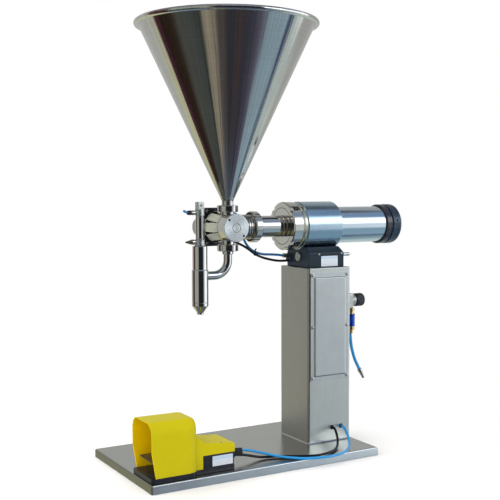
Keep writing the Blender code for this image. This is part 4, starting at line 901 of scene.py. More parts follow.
def box_hose_fitting():
    x = 169.8
    part = lathe("X", BLUE_OUTLET, [
        (3.15, x - 12), (5.6, x - 12, 0.5), (6.0, x - 10.8, 0.3), (6.0, x - 8.0, 0.4),
        (4.7, x - 7.2), (4.7, x - 5.4), (5.4, x - 5.0, 0.3), (5.4, x), (3.15, x)], 48)
    finish(part, "hose_fitting_ring", CHROME, "stainless_polished", "box_hose_fitting")
    part = lathe("X", BLUE_OUTLET, [(3.2, x - 4.9), (6.0, x - 4.9, 0.4), (6.0, x - 0.3, 0.4),
                                    (3.2, x - 0.3)], 6, 2)
    finish(part, "hose_fitting_hex", NICKEL, "stainless_polished", sharp=25)


# ============================================================ cylinder group, about X

def notch_nut(nut, x, radius, cutter, steps):
    """Four notches round a nut on the cylinder axis; cutter is the slab's sizes."""
    for a in quarter_turns(pi / 4):
        place = shift(x, radius * cos(a), AXIS_Z + radius * sin(a))
        cut(nut, moved(slab("Z", *cutter, steps=steps),
                       place @ Matrix.Rotation(a - pi / 2, 4, "X")))


def housing():
    r = HOUSING_RADIUS
    part = lathe("X", CYLINDER_AXIS, [
        (10.2, 163.2), (26.8, 163.2), (26.8, 150.7), (49.4, 150.7), (49.4, 161.9),
        (54.0, 161.9, 1.4), (56.8, 164.4, 0.8), (57.0, 171.4), (57.6, 171.9),
        (r - 0.8, 172.0, 0.7), (r, 173.4, 0.7), (r, 272.4, 1.6), (r - 3.6, 276.0, 1.6),
        (48.5, 276.0), (46.4, 275.4), (10.2, 275.4)], 160)
    finish(part, "housing_shell", (BLUE_GREY, BARE_RING), "anodised_blue_grey",
           "cylinder_housing", pick=lambda center, normal: 1 if center.x < 171.8 else 0)


def rear_barrel():
    part = lathe("X", CYLINDER_AXIS, [
        (42.0, 276.35), (45.3, 276.35, 0.3), (46.0, 277.2, 0.3), (46.0, 419.6, 0.3),
        (45.4, 420.7, 0.3), (42.0, 420.7)], 160)
    finish(part, "rear_barrel_tube", ALUMINIUM, "turned_aluminium", "rear_barrel")


def end_collar():
    part = lathe("X", CYLINDER_AXIS, [
        (10.4, 415.2), (41.7, 415.2), (41.7, 421.15), (49.6, 421.15, 0.6), (51.0, 422.5, 0.6),
        (51.0, 428.0, 0.2), (50.3, 428.5, 0.2), (50.3, 429.6, 0.2), (51.0, 430.1, 0.2),
        (51.0, 436.4, 0.6), (50.0, 437.35, 0.4), (18.3, 437.35), (18.3, 430.0),
        (10.4, 430.0)], 160)
    finish(part, "end_collar_ring", COLLAR_BLACK, "black_anodised", "end_collar")


def volume_knob():
    def grip(angle, radius, x):
        if 443.0 < x < 448.4 and radius > 50:
            return radius - 0.22 * (0.5 + 0.5 * cos(120 * angle))
        return radius

    profile = [(10.5, 430.4), (18.0, 430.4), (18.0, 440.45), (49.4, 440.45),
               (50.6, 441.0, 0.5), (51.5, 442.4, 0.4), (51.5, 448.9, 0.2), (50.9, 449.5, 0.2),
               (51.5, 450.1, 0.2), (51.5, 461.5, 2.0), (50.6, 465.4, 2.5), (47.5, 468.6, 2.0),
               (43.0, 469.9, 1.0)]
    for r in (38, 32, 26, 20):      # rings turned in the +X face
        profile += [(r + 0.9, 469.9), (r + 0.3, 469.55), (r - 0.3, 469.55), (r - 0.9, 469.9)]
    profile += [(9.0, 469.9), (8.4, 469.4), (0.0, 469.4), (0.0, 466.5), (10.5, 466.5)]
    part = lathe("X", CYLINDER_AXIS, profile, 192, wave=grip)
    cut(part, cylinder_solid("Y", (453.5, AXIS_Z + 10.0), 2.4, -55, -44.5, 28))
    finish(part, "volume_knob_grip", KNOB_BLACK, "black_anodised", "volume_knob",
           body="volume_knob")


def axis_distance(center):
    """Distance of a point from the cylinder axis."""
    return hypot(center.y, center.z - AXIS_Z)


def product_tube():
    profile = [(24.0, 46.7), (32.9, 46.7), (32.9, 50.3), (30.0, 50.3), (30.0, 61.2, 0.4),
               (29.2, 62.0, 0.4), (26.4, 62.0)]
    for x in (117.2, 126.4):        # two grooves before the ring nut
        profile += [(26.4, x), (25.3, x + 0.7), (24.8, x + 1.2), (24.8, x + 3.0),
                    (25.3, x + 3.5), (26.4, x + 4.2)]
    profile += [(26.4, 138.4), (43.9, 138.4), (43.9, 150.1), (26.4, 150.1), (26.4, 162.7),
                (24.0, 162.7)]
    part = lathe("X", CYLINDER_AXIS, profile, 120, 2)

    # The grooves are painted in the darker cut metal, partly as painted shade.
    def pick(center, normal):
        return 1 if 116.9 < center.x < 131 and axis_distance(center) < 26.1 else 0

    finish(part, "product_tube", (TUBE_STEEL, CUT_FINISH_AND_SHADE), "stainless_polished",
           "product_cylinder", sharp=40, pick=pick)


def front_ring_nut():
    part = lathe("X", CYLINDER_AXIS, [
        (26.8, 130.3), (44.4, 130.3), (44.5, 131.7), (45.7, 131.7), (45.8, 130.3),
        (56.6, 130.3, 1.2), (59.5, 132.6, 1.0), (59.5, 156.6, 0.8), (58.2, 158.1, 0.4),
        (49.9, 158.1), (49.9, 138.2), (26.8, 138.2)], 160)
    notch_nut(part, 136.0, 59.5, ((-10.5, 13.0), (-5.8, 5.8), (-6.0, 4), 2.2), steps=5)

    # The ring groove in the face is painted near black as painted shade.
    def pick(center, normal):
        return 1 if center.x < 131.9 and 44.35 < axis_distance(center) < 45.85 else 0

    finish(part, "front_ring_nut_body", (MIRROR, CREASE_PAINTED_SHADE), "hopper_mirror", "front_ring_nut",
           sharp=24, pick=pick)


def cylinder_union_nut():
    part = lathe("X", CYLINDER_AXIS, [
        (29.8, 38.2), (35.4, 38.2, 0.9), (37.7, 40.4, 1.0), (37.7, 54.6, 1.0),
        (35.6, 56.9, 0.9), (30.3, 56.9), (30.3, 51.0), (33.4, 51.0), (33.4, 46.3),
        (29.8, 46.3)], 120)
    notch_nut(part, 49.0, 37.7, ((-14, 14), (-3.6, 3.6), (-2.6, 4), 0.8), steps=3)
    finish(part, "cylinder_union_nut_body", NUT_STEEL, "stainless_polished",
           "cylinder_union_nut", sharp=30)


# ============================================================ valve
FLATS = (180, 135, 225, 45, -45)            # degrees from +X towards +Z
CREASES = (157.5, 202.5, 112.5, 247.5)      # between the flats
FLAT_TILT = radians(9.4)                    # the flats widen towards +Y
COVER_SCREW_ANGLES = (radians(135), radians(-45))


def thread(radius, start, end, pitch, depth):
    """Profile rows of turned crests between start and end."""
    rows = []
    count = int((end - start) / pitch)
    root = radius - depth
    for i in range(count):
        h = start + i * pitch
        rows += [(root, h), (root, h + pitch * 0.22), (radius, h + pitch * 0.44),
                 (radius, h + pitch * 0.60), (root, h + pitch * 0.82)]
    rows.append((root, start + count * pitch))
    return rows


def valve_body_pick(center, normal):
    """0 polished, 1 thread in darker cut metal, partly painted shade, 2 crease painted near black
    as painted shade, 3 flat painted matt beige as painted reflection.
    """
    x, y, z = center
    if x > 12.9 and 25 < axis_distance(center) < 29.6:
        return 1
    if not -12.0 < y < 43.5:
        return 0
    # Flats take the matt beige painted reflection.
    for angle in FLATS:
        a = radians(angle)
        facing = (normal.x * cos(a) * cos(FLAT_TILT) - normal.y * sin(FLAT_TILT)
                  + normal.z * sin(a) * cos(FLAT_TILT))
        if facing > 0.9995:
            return 3
    t = (y + 12.0) / 56.0
    radius = 28.8 + 10.3 * t
    reach = 0.95 + 1.6 * t if t < 0.47 else 1.7 + (t - 0.47) * 6.4
    # Strips along the creases between the flats are painted near black as painted shade.
    for angle in CREASES:
        a = radians(angle)
        if hypot(x - VALVE_X - radius * cos(a), z - AXIS_Z - radius * sin(a)) < reach:
            return 2
    return 0


def valve_body():
    """Round bar about Y with flats between the ports and a turned flange at +Y."""
    part = lathe("Y", VALVE_AXIS, [
        (0, -39.6), (31.6, -39.6, 0.8), (33.0, -38.2, 0.8), (33.0, -14.0, 0.6),
        (31.4, -12.6, 0.4), (31.4, -11.4, 0.4), (33.2, -9.6, 0.6), (38.6, 43.4),
        (39.4, 43.9, 0.3), (39.4, 46.2, 0.4), (38.7, 46.9, 0.3), (0, 46.9)], 144)

    def cut_round(tool, angle):
        cut(part, moved(tool, Matrix.Rotation(radians(-angle), 4, "Y"),
                        shift(VALVE_X, 0, AXIS_Z)))

    for angle in FLATS:
        wedge = [(27.3, -9.4), (27.3 + 53.0 * tan(FLAT_TILT), 43.6), (60, 43.6), (60, -9.4)]
        cut_round(prism(wedge, "Z", -40, 40), angle)
    for angle in CREASES:
        tool = lathe("Y", (0.0, 0.0), [(0, 0.0), (0.7, 1.0), (1.4, 26.0), (4.6, 56.6),
                                       (0, 56.6)], 44)
        moved(tool, Matrix.Rotation(radians(-10.4), 4, "Z"), shift(28.8, -12.0, 0))
        cut_round(tool, angle)
    hopper_port = ([(0, AXIS_Z + 8), (16.3, AXIS_Z + 8), (16.3, 592.6), (16.3, 594.6, 0.6)]
                   + thread(19.9, 595.2, 601.4, 2.0, 0.9) + [(19.0, 602.4), (0, 602.4)])
    join(part, lathe("Z", PORT_AXIS, hopper_port, 80, 2))
    outlet_port = ([(0, 509.8), (19.0, 509.8)] + thread(19.9, 510.4, 516.6, 2.0, 0.9)
                   + [(15.6, 517.4, 0.6), (15.6, AXIS_Z - 8), (0, AXIS_Z - 8)])
    join(part, lathe("Z", PORT_AXIS, outlet_port, 80, 2))
    cylinder_port = ([(0, VALVE_X + 6), (24.5, VALVE_X + 6), (24.5, 11.0, 1.0),
                      (27.6, 12.4, 0.5)] + thread(30.0, 13.2, 40.6, 6.8, 2.6)
                     + [(28.6, 45.9), (20.0, 45.9), (20.0, 30.0), (0, 30.0)])
    join(part, lathe("X", CYLINDER_AXIS, cylinder_port, 100, 2))
    finish(part, "valve_body_block", (CHROME, CUT_FINISH_AND_SHADE, CREASE_PAINTED_SHADE, FLAT_PAINTED_REFLECTION),
           "stainless_polished", "valve_body", sharp=13, pick=valve_body_pick)


def valve_cover():
    """Turned disc on the -Y end: centre dimple and ring groove painted dark as painted shade, and
    two sunk socket screws whose heads are painted black as the shade of their holes.
    """
    part = lathe("Y", VALVE_AXIS, [
        (0, -44.6), (0.9, -44.9), (1.5, -45.95), (9.7, -45.95), (9.8, -44.7), (11.0, -44.7),
        (11.1, -45.95), (32.4, -45.95, 0.5), (33.5, -44.9, 0.5), (33.5, -40.1),
        (24.4, -40.1), (24.4, -37.1), (0, -37.1)], 160)
    screws = [(VALVE_X + 27.0 * cos(a), AXIS_Z + 27.0 * sin(a)) for a in COVER_SCREW_ANGLES]
    for center in screws:
        cut(part, cylinder_solid("Y", center, 3.0, -48, -43.4, 32))

    # The centre dimple and the ring groove are painted dark as painted shade.
    def pick(center, normal):
        radius = hypot(center.x - VALVE_X, center.z - AXIS_Z)
        return 1 if center.y < -44.0 and (radius < 1.3 or 9.6 < radius < 11.2) else 0

    finish(part, "valve_cover_disc", (DISC, CUT_FINISH_AND_SHADE), "turned_aluminium", "valve_cover",
           sharp=20, pick=pick)
    # Screw heads are painted black so they read as shaded holes: painted shade.
    for i, center in enumerate(screws):
        part = lathe("Y", center, [(0, -44.95), (2.3, -44.95, 0.4), (2.8, -44.4, 0.2),
                                   (2.8, -43.3), (0, -43.3)], 36)
        cut(part, socket("Y", center, 1.35, -46, -44.2, -44.0, 24))
        finish(part, "valve_cover_screw_%d" % (i + 1), COLLAR_BLACK, "machined_steel")


def port_union_nuts():
    # name, middle height, profile
    nuts = (
        ("hopper_union_nut", (594.3 + 610.7) / 2,
         [(20.3, 594.4), (24.0, 594.4, 0.7), (25.6, 596.0, 0.7), (25.6, 609.0, 0.7),
          (24.0, 610.6, 0.7), (14.6, 610.6), (14.6, 606.7), (20.3, 606.7)]),
        ("outlet_union_nut", (500.9 + 517.9) / 2,
         [(13.8, 501.0), (24.0, 501.0, 0.7), (25.5, 502.6, 0.7), (25.5, 516.2, 0.7),
          (24.0, 517.8, 0.7), (20.3, 517.8), (20.3, 505.5), (13.8, 505.5)]))
    for node, middle, profile in nuts:
        part = lathe("Z", PORT_AXIS, profile, 100)
        for a in quarter_turns(radians(20)):
            tool = slab("Z", (-2.2, 3), (-3.0, 3.0), (-12, 12), 0.7, steps=3)
            place = shift(PORT_X + 25.7 * cos(a), 25.7 * sin(a), middle)
            cut(part, moved(tool, place @ Matrix.Rotation(a, 4, "Z")))
        finish(part, node + "_body", NUT_STEEL, "stainless_polished", node, sharp=30)


# ============================================================ hopper
NECK_RADIUS, CONE_START = 14.2, 622.0
CONE_SLOPE = (206.0 - NECK_RADIUS) / (1028.0 - CONE_START)      # radius per height
BEAD_RADIUS, BEAD_Z = 212.4, 1036.0


def cone_radius(z):
    return NECK_RADIUS + CONE_SLOPE * (z - CONE_START)


def hopper():
    profile = [(12.6, 603.0), (19.7, 603.0), (19.7, 606.1), (NECK_RADIUS, 606.2),
               (NECK_RADIUS, 619.4)]
    for i in range(1, 6):           # soft blend between neck and cone
        t = i / 6
        p = (Vector((NECK_RADIUS, 619.0)) * (1 - t) ** 2
             + Vector((NECK_RADIUS, CONE_START)) * 2 * t * (1 - t)
             + Vector((cone_radius(625.4), 625.4)) * t * t)
        profile.append((p.x, p.y))
    for i in range(25):             # outside of the cone
        z = 626.0 + (1029.5 - 626.0) * i / 24
        profile.append((cone_radius(z), z))
    profile.append((cone_radius(1031.7), 1031.7))
    for i in range(21):             # bead rolled outwards
        a = radians(-136 + 290.0 * i / 20)
        profile.append((BEAD_RADIUS + 6.2 * cos(a), BEAD_Z + 6.12 * sin(a)))
    profile.append((206.2, 1033.6))
    for i in range(24, -1, -1):     # inside of the cone
        z = 627.0 + (1030.5 - 627.0) * i / 24
        profile.append((12.6 + CONE_SLOPE * (z - 622.4), z))
    profile.append((12.7, 621.5))
    part = lathe("Z", PORT_AXIS, profile, 288, phase=pi / 2)
    finish(part, "hopper_cone", HOPPER_MIRROR, "hopper_mirror", "hopper", sharp=24)


def hopper_seam():
    """Dressed weld up the cone on its +Y side."""
    path = []
    for i in range(41):
        z = 640.0 + (1016.0 - 640.0) * i / 40
        r = cone_radius(z) - 0.35
        path.append((PORT_X + r * cos(radians(62)), r * sin(radians(62)), z))
    finish(tube(path, 0.9, 12), "hopper_seam_weld", STEEL, "hopper_mirror")


# ============================================================ actuator
ACTUATOR_Y = (50.5, 90.0)
ACTUATOR_HOSES = ((62.0, 521.0), (60.0, 592.0))     # y, z of the holes in the +X face


def actuator():
    x, (y0, y1) = VALVE_X, ACTUATOR_Y
    part = slab("Y", (x - 36, x + 36), (511.0, 604.0), (y0, y1), 7.0, 1.4, 1.4)
    join(part, lathe("X", (70.0, AXIS_Z), [
        (0, x - 52.6), (13.0, x - 52.2, 1.5), (18.8, x - 49.2, 2.0), (20.4, x - 44.5, 1.0),
        (20.4, x + 47, 1.0), (18.8, x + 53.4, 2.0), (13.0, x + 57.6, 1.5), (0, x + 58)]))
    for center in ACTUATOR_HOSES:
        cut(part, cylinder_solid("X", center, 3.3, x + 26, x + 44, 28))

    def pick(center, normal):
        end_cap = center.x - x < -44.4 or center.x - x > 46.8
        return 1 if end_cap and center.y > 48.0 else 0

    finish(part, "actuator_case", (ACTUATOR_BLACK, SATIN), "black_anodised",
           "actuator_body", pick=pick)


def actuator_screws():
    y = ACTUATOR_Y[0]
    centers = [(VALVE_X + dx, z) for dx in (-29, 29) for z in (518.5, 596.5)]
    for i, center in enumerate(centers):
        part = lathe("Y", center, [(0, y - 1.6), (3.2, y - 1.6, 0.5), (3.7, y - 0.9, 0.3),
                                   (3.7, y + 0.2), (0, y + 0.2)], 36)
        cut(part, socket("Y", center, 1.6, y - 3, y - 0.6, y - 0.3))
        finish(part, "actuator_screw_%d" % (i + 1), STEEL, "machined_steel")


def actuator_hose_rings():
    x = VALVE_X
    for i, center in enumerate(ACTUATOR_HOSES):
        part = lathe("X", center, [
            (3.1, x + 36.05), (5.6, x + 36.05, 0.3), (5.6, x + 39.6, 0.5), (4.9, x + 40.4),
            (4.9, x + 43.0, 0.4), (3.1, x + 43.0)], 40)
        finish(part, "actuator_hose_ring_%d" % (i + 1), NICKEL, "stainless_polished")


# ============================================================ nozzle, about Z
FEED_Z, ELBOW_RADIUS = 444.2, 36.0      # feed pipe into the barrel, bend up to the outlet
BARREL_RADIUS = 19.6


def nozzle_barrel():
    r = BARREL_RADIUS
    part = lathe("Z", NOZZLE_AXIS, [
        (0, 382.5), (19.0, 382.5, 0.3), (r, 383.2, 0.3), (r, 458.4, 0.4), (19.1, 459.2, 0.3),
        (18.3, 459.4), (17.8, 460.4, 0.3), (17.8, 514.6, 0.6), (16.6, 515.9, 0.4),
        (0, 515.9)], 120)
    path = [(NOZZLE_X + 10, 0, FEED_Z), (-75.0, 0, FEED_Z)]
    for i in range(25):
        a = radians(-90 + 90.0 * i / 24)
        path.append((PORT_X - ELBOW_RADIUS + ELBOW_RADIUS * cos(a), 0,
                     FEED_Z + ELBOW_RADIUS + ELBOW_RADIUS * sin(a)))
    path.append((PORT_X, 0, 496.0))
    join(part, tube(path, 10.4, 64))
    join(part, lathe("Z", PORT_AXIS, [
        (0, 493.5), (12.4, 493.5, 0.4), (13.4, 494.6, 0.5), (13.4, 505.7), (19.7, 505.9),
        (19.7, 509.1), (0, 509.1)], 80))
    cut(part, cylinder_solid("Z", NOZZLE_AXIS, 15.0, 375.0, 504.0))
    cut(part, cylinder_solid("Z", NOZZLE_AXIS, 4.4, 500.0, 520.0, 32))
    finish(part, "nozzle_barrel", CHROME, "stainless_polished", "nozzle_body", sharp=28)


def nozzle_pipe_weld():
    path = []
    for i in range(48):
        a = 2 * pi * i / 48
        y, z = 10.6 * cos(a), 10.6 * sin(a)
        path.append((NOZZLE_X + sqrt(BARREL_RADIUS ** 2 - y ** 2) + 0.25, y, FEED_Z + z))
    path.append(path[0])
    finish(tube(path, 0.75, 8), "nozzle_pipe_weld", STEEL, "stainless_polished", sharp=60)


def nozzle_tip():
    part = lathe("Z", NOZZLE_AXIS, [
        (3.9, 353.9), (7.2, 353.9, 0.3), (7.9, 354.6, 0.3), (7.9, 358.0, 0.5),
        (19.2, 373.6, 1.2), (19.6, 375.0, 0.3), (19.6, 381.6, 0.3), (19.1, 382.1),
        (14.7, 382.1), (14.7, 391.0), (11.0, 391.0), (11.0, 376.0), (3.9, 366.0)], 120)
    finish(part, "nozzle_tip_cone", CHROME, "stainless_polished", "nozzle_tip", sharp=28)


def air_cylinder():
    part = lathe("Z", NOZZLE_AXIS, [
        (4.4, 516.4), (12.6, 516.4, 0.3), (13.0, 517.0, 0.3), (13.0, 518.3, 0.3),
        (11.6, 518.9), (11.6, 530.6, 0.4), (11.0, 531.4, 0.3), (4.4, 531.4)], 80)
    finish(part, "air_cylinder_bottom", SATIN, "turned_aluminium", "nozzle_air_bottom_head")
    part = lathe("Z", NOZZLE_AXIS, [
        (8.8, 531.8), (10.0, 531.8), (10.0, 533.4, 0.2), (9.7, 533.8), (9.7, 534.6),
        (10.0, 535.0, 0.2), (10.0, 583.0, 0.2), (9.7, 583.4), (9.7, 584.2),
        (10.0, 584.6, 0.2), (10.0, 586.1), (8.8, 586.1)])
    finish(part, "air_cylinder_barrel", CHROME, "stainless_polished", "nozzle_air_barrel")
    part = lathe("Z", NOZZLE_AXIS, [
        (0, 586.4), (10.4, 586.4, 0.4), (11.2, 587.2, 0.4), (11.2, 600.9, 0.6),
        (10.2, 602.5, 0.6), (0, 602.5)], 80)
    join(part, slab("Z", (NOZZLE_X - 8.5, NOZZLE_X + 8.5), (-8.0, 8.0), (600.5, 619.2), 1.6,
                    end_edge=1.2, steps=5))
    cut(part, cylinder_solid("Y", (NOZZLE_X, 610.5), 3.0, -15, 15, 36))
    finish(part, "air_cylinder_top", SATIN, "turned_aluminium", "nozzle_air_top_head",
           sharp=28)


def air_fitting():
    """Fitting on the -X side of the air cylinder with a short tube stub."""
    x = NOZZLE_X - 11.5
    part = lathe("X", (0, 594), [
        (0, x), (4.2, x), (4.2, x - 3.0), (5.6, x - 3.4, 0.4), (5.6, x - 9.0, 0.4),
        (5.0, x - 9.6), (5.0, x - 10.6), (5.6, x - 11.2, 0.4), (5.6, x - 15.4, 0.5),
        (4.8, x - 20.8, 0.4), (3.2, x - 21.0), (3.2, x - 10.0), (0, x - 10.0)], 48)

    def pick(center, normal):
        # The lower half of the body is painted black as painted shade; the -X collet end is
        # black.
        shaded_underside = x - 9.6 < center.x < x - 3.2 and center.z < 592
        return 1 if center.x < x - 11.0 or shaded_underside else 0

    finish(part, "air_fitting_body", (NICKEL, REGULATOR_BLACK), "black_anodised",
           "nozzle_air_fitting", pick=pick)
    stub = [(x - 10.5, 0, 594.0), (x - 16.0, 0, 594.2), (x - 21.0, 0, 595.0),
            (x - 26.0, 0, 596.6), (x - 30.4, 0, 598.6)]
    part = tube(smooth_path(stub, 2.0), 2.9, 20, bore=1.9)
    finish(part, "air_fitting_stub", HOSE_BLUE, "hose_blue")


def silencer():
    x = NOZZLE_X - 11.8
    part = lathe("X", (0, 525.2), [
        (0, x), (4.4, x), (4.4, x - 2.6), (5.6, x - 2.9, 0.3), (6.3, x - 4.0, 0.5),
        (6.3, x - 9.4, 0.8), (4.6, x - 15.0, 1.0), (3.2, x - 20.0, 0.8), (2.0, x - 24.5, 0.8),
        (0.9, x - 26.3, 0.2), (0, x - 26.4)], 40)
    finish(part, "silencer_cone", (NICKEL, BRONZE), "brass", "nozzle_silencer",
           pick=lambda center, normal: 1 if center.x < x - 9.6 else 0)


# ============================================================ air preparation
REGULATOR_X = 292.8         # its -X end
SLIDE_VALVE_X = 328.6       # the slide valve stands along Z


def ribs(count, depth, low, high, min_radius):
    """Wave for a lathe: ribs between two heights, outside a radius."""
    def wave(angle, radius, height):
        if low < height < high and radius > min_radius:
            return radius - depth * (0.5 + 0.5 * cos(count * angle)) ** 2
        return radius
    return wave


def regulator():
    x, (y, z) = REGULATOR_X, SUPPLY_AXIS
    part = slab("X", (y - 18.5, y + 18.5), (z - 19.0, z + 19.0), (x + 4, 325.0), 3.4, 1.5, 1.5,
                steps=5)
    join(part, lathe("X", SUPPLY_AXIS, [
        (0, 316), (14.0, 316), (14.0, 331.0, 0.4), (13.0, 331.8, 0.3), (13.0, 333.0, 0.3),
        (14.0, 333.8, 0.4), (14.0, 338.6, 0.5), (13.2, 339.3), (0, 339.3)], 80))
    join(part, cylinder_solid("X", SUPPLY_AXIS, 4.9, x - 9.5, x + 6, 36))
    cut(part, cylinder_solid("X", SUPPLY_AXIS, 6.6, 326.5, 345.0, 36))
    cut(part, slab("X", (y - 12, y + 12), (z - 30, z - 20.2), (314, 343), 0.6, steps=2))
    # round pockets and a shallow panel in the -Y and +Y faces
    for side in (-1, 1):
        face = y + side * 18.5
        for pocket_z in (z - 11.5, z + 11.5):
            cut(part, cylinder_solid("Y", (x + 14.0, pocket_z), 3.1, face - 2.2, face + 2.2, 32))
        panel = y + side * 19.2
        cut(part, slab("Y", (x + 20.0, x + 29.0), (z - 12, z + 12), (panel - 1.4, panel + 1.4),
                       1.6, steps=3))
    finish(part, "regulator_housing", REGULATOR_CAST, "regulator_grey", "regulator_body",
           sharp=30)
    center = (x + 17.5, z)
    part = lathe("Y", center, [(0, y - 20.9), (4.4, y - 20.9, 0.4), (5.2, y - 20.0, 0.3),
                               (5.2, y - 18.0), (0, y - 18.0)], 40)
    cut(part, socket("Y", center, 2.3, y - 23, y - 19.4, y - 19.2))
    finish(part, "regulator_port_plug", NICKEL, "regulator_grey")


def regulator_knob():
    part = lathe("X", SUPPLY_AXIS, [
        (0, 326.7), (5.9, 326.7), (5.9, 339.9), (15.4, 339.9, 0.4), (16.8, 341.4, 0.6),
        (16.8, 344.4), (16.2, 345.2), (16.2, 346.4), (16.8, 347.2), (16.8, 360.8, 0.8),
        (15.7, 363.8, 0.9), (13.0, 364.9, 0.6), (10.4, 364.9), (10.0, 364.3), (0, 364.3)],
        240, 2, wave=ribs(30, 1.15, 347.5, 361.0, 16.0))
    finish(part, "regulator_knob_grip", REGULATOR_BLACK, "black_anodised", "regulator_knob",
           body="regulator_knob", sharp=28)


def slide_valve():
    axis = (SLIDE_VALVE_X, SUPPLY_AXIS[0])
    part = lathe("Z", axis, [
        (4.3, 277.7), (6.4, 277.7, 0.3), (7.6, 278.8, 0.3), (7.6, 286.2, 0.3), (7.0, 286.6),
        (7.0, 287.0), (10.0, 287.0, 0.3), (10.8, 288.0, 0.4), (10.8, 295.2, 0.5),
        (10.2, 296.1), (9.0, 296.1), (9.0, 335.3), (10.2, 335.3, 0.3), (10.8, 336.0, 0.4),
        (10.8, 343.1), (0, 343.1), (0, 288.0), (4.3, 288.0)], 72)
    finish(part, "slide_valve_core", BRASS, "brass", "slide_valve_body")
    profile = [(9.4, 296.7), (11.0, 296.7, 0.3), (12.0, 297.6, 0.3)]
    for i in range(4):          # grip grooves
        z = 301.2 + i * 6.2
        profile += [(12.0, z, 0.2), (11.0, z + 0.9, 0.3), (11.0, z + 2.6, 0.3),
                    (12.0, z + 3.5, 0.2)]
    profile += [(12.0, 327.5, 0.3), (11.2, 328.5, 0.3), (9.4, 328.5)]
    part = lathe("Z", axis, profile, 144, wave=ribs(36, 0.25, 297.9, 327.2, 11.6))
    finish(part, "slide_sleeve_grip", BLUE_METAL, "sleeve_blue", "slide_valve_sleeve",
           body="slide_sleeve", sharp=28)


def supply_hose():
    """Open hose hanging from the slide valve, with a plug at its lower end."""
    x, y = SLIDE_VALVE_X, SUPPLY_AXIS[0]
    path = smooth_path([(x, y, 286.5), (x, y, 276.0), (x + 2.0, y, 256.0), (334.0, y, 237.0),
                        (342.5, y, 211.0), (350.5, y, 195.0), (357.2, y, 183.0)], 2.5)
    finish(tube(path, 4.0, 40, bore=2.6), "supply_hose_skin", HOSE_BRIGHT, "hose_blue",
           "supply_hose")
    direction = (path[-1] - path[-2]).normalized()
    part = lathe("Z", (0, 0), [
        (1.8, 0.4), (5.2, 0.4, 0.3), (5.6, 1.0, 0.3), (5.6, 9.0, 0.4), (5.2, 9.8, 0.2),
        (4.2, 10.0), (4.2, 11.2), (4.6, 11.8, 0.2), (4.6, 15.2, 0.3), (3.9, 16.0, 0.2),
        (3.9, 17.0, 0.2), (4.6, 17.8, 0.2), (3.8, 19.4, 0.3), (3.8, 26.0, 0.3),
        (3.2, 28.9, 0.3), (1.8, 28.9)], 60, wave=ribs(24, 0.35, 1.2, 8.9, 5.4))
    turn = Vector((0, 0, 1)).rotation_difference(direction).to_matrix().to_4x4()
    moved(part, shift(*path[-1]) @ turn)
    finish(part, "quick_plug_body", NICKEL, "brass", "quick_plug", sharp=28)


# ============================================================ pedal hood
HOOD_WALL, HOOD_BOTTOM = 2.6, 31.35


def hood_section(x, half, top, radius, inset, lean, wall=0.0):
    """Arch across Y, from the -Y foot over the top; lean tips its foot towards +X."""
    half, top = half - wall - inset, top - wall - inset
    r = max(radius - wall - inset, 1.0)
    sides = [HOOD_BOTTOM + (top - r - HOOD_BOTTOM) * i / 10 for i in range(10)]
    pairs = [(PEDAL_Y - half, z) for z in sides]
    for i in range(11):
        a = radians(180 - 90.0 * i / 10)
        pairs.append((PEDAL_Y - half + r + r * cos(a), top - r + r * sin(a)))
    for i in range(1, 8):
        pairs.append((PEDAL_Y - half + r + (2 * half - 2 * r) * i / 8, top))
    for i in range(11):
        a = radians(90 - 90.0 * i / 10)
        pairs.append((PEDAL_Y + half - r + r * cos(a), top - r + r * sin(a)))
    pairs += [(PEDAL_Y + half, z) for z in reversed(sides)]
    return [(x + lean * (11.1 * min(1.0, max(0.0, (86.0 - z) / 66.0))), y, z)
            for y, z in pairs]


def hood_outside():
    """Rows of x, half width, top, corner radius, inset, lean; from the mouth at -X."""
    rows = [(-295.3, 53.0, 150.0, 27.0, 0.75, 1.0), (-295.9, 53.0, 150.0, 27.0, 0.35, 1.0),
            (-295.85, 53.0, 150.0, 27.0, 0.1, 1.0), (-295.2, 53.0, 150.0, 27.0, 0.0, 1.0)]
    for i in range(1, 9):
        x = -295.2 + 82.2 * i / 9
        rows.append((x, 53.0, 150.0 - (x + 296) / 83.0, 27.0, 0.0, 1.0 - i / 9))
    rows.append((-213.0, 53.0, 149.0, 27.0, 0.0, 0.0))
    for i in range(1, 8):
        t = i / 8
        rows.append((-213.0 + 22.5 * t, 53.0 - 5.0 * t ** 2.6, 149.0 - 1.2 * t ** 2.0,
                     27.0 - 5.0 * t, 0.0, 0.0))
    return rows + [(-190.5, 48.0, 147.8, 22.0, 0.0, 0.0), (-188.6, 46.8, 147.2, 21.0, 0.0, 0.0),
                   (-187.1, 45.4, 146.2, 20.0, 0.2, 0.0), (-186.3, 44.4, 145.4, 19.0, 0.7, 0.0),
                   (-186.0, 43.6, 144.6, 18.0, 1.6, 0.0)]


def hood_inside():
    """Rows as outside, before the wall is taken off; from the closed end at +X."""
    rows = [(-188.6, 46.0, 145.6, 19.6, 0.8, 0.0), (-189.3, 46.6, 146.4, 20.4, 0.2, 0.0),
            (-192.0, 48.2, 147.4, 21.6, 0.0, 0.0)]
    for i in range(7, 0, -1):
        t = i / 8
        rows.append((-213.6 + 21.6 * t, 53.0 - 4.8 * t ** 2.6, 149.0 - 1.6 * t ** 2.0,
                     27.0 - 5.2 * t, 0.0, 0.0))
    rows.append((-213.6, 53.0, 149.0, 27.0, 0.0, 0.0))
    for i in range(8, 0, -1):
        x = -295.2 + 81.6 * i / 9
        rows.append((x, 53.0, 150.0 - (x + 296) / 83.0, 27.0, 0.0, 1.0 - i / 9))
    return rows + [(-295.2, 53.0, 150.0, 27.0, 0.0, 1.0), (-295.6, 53.0, 150.0, 27.0, -0.25, 1.0),
                   (-295.8, 53.0, 150.0, 27.0, -0.6, 1.0)]


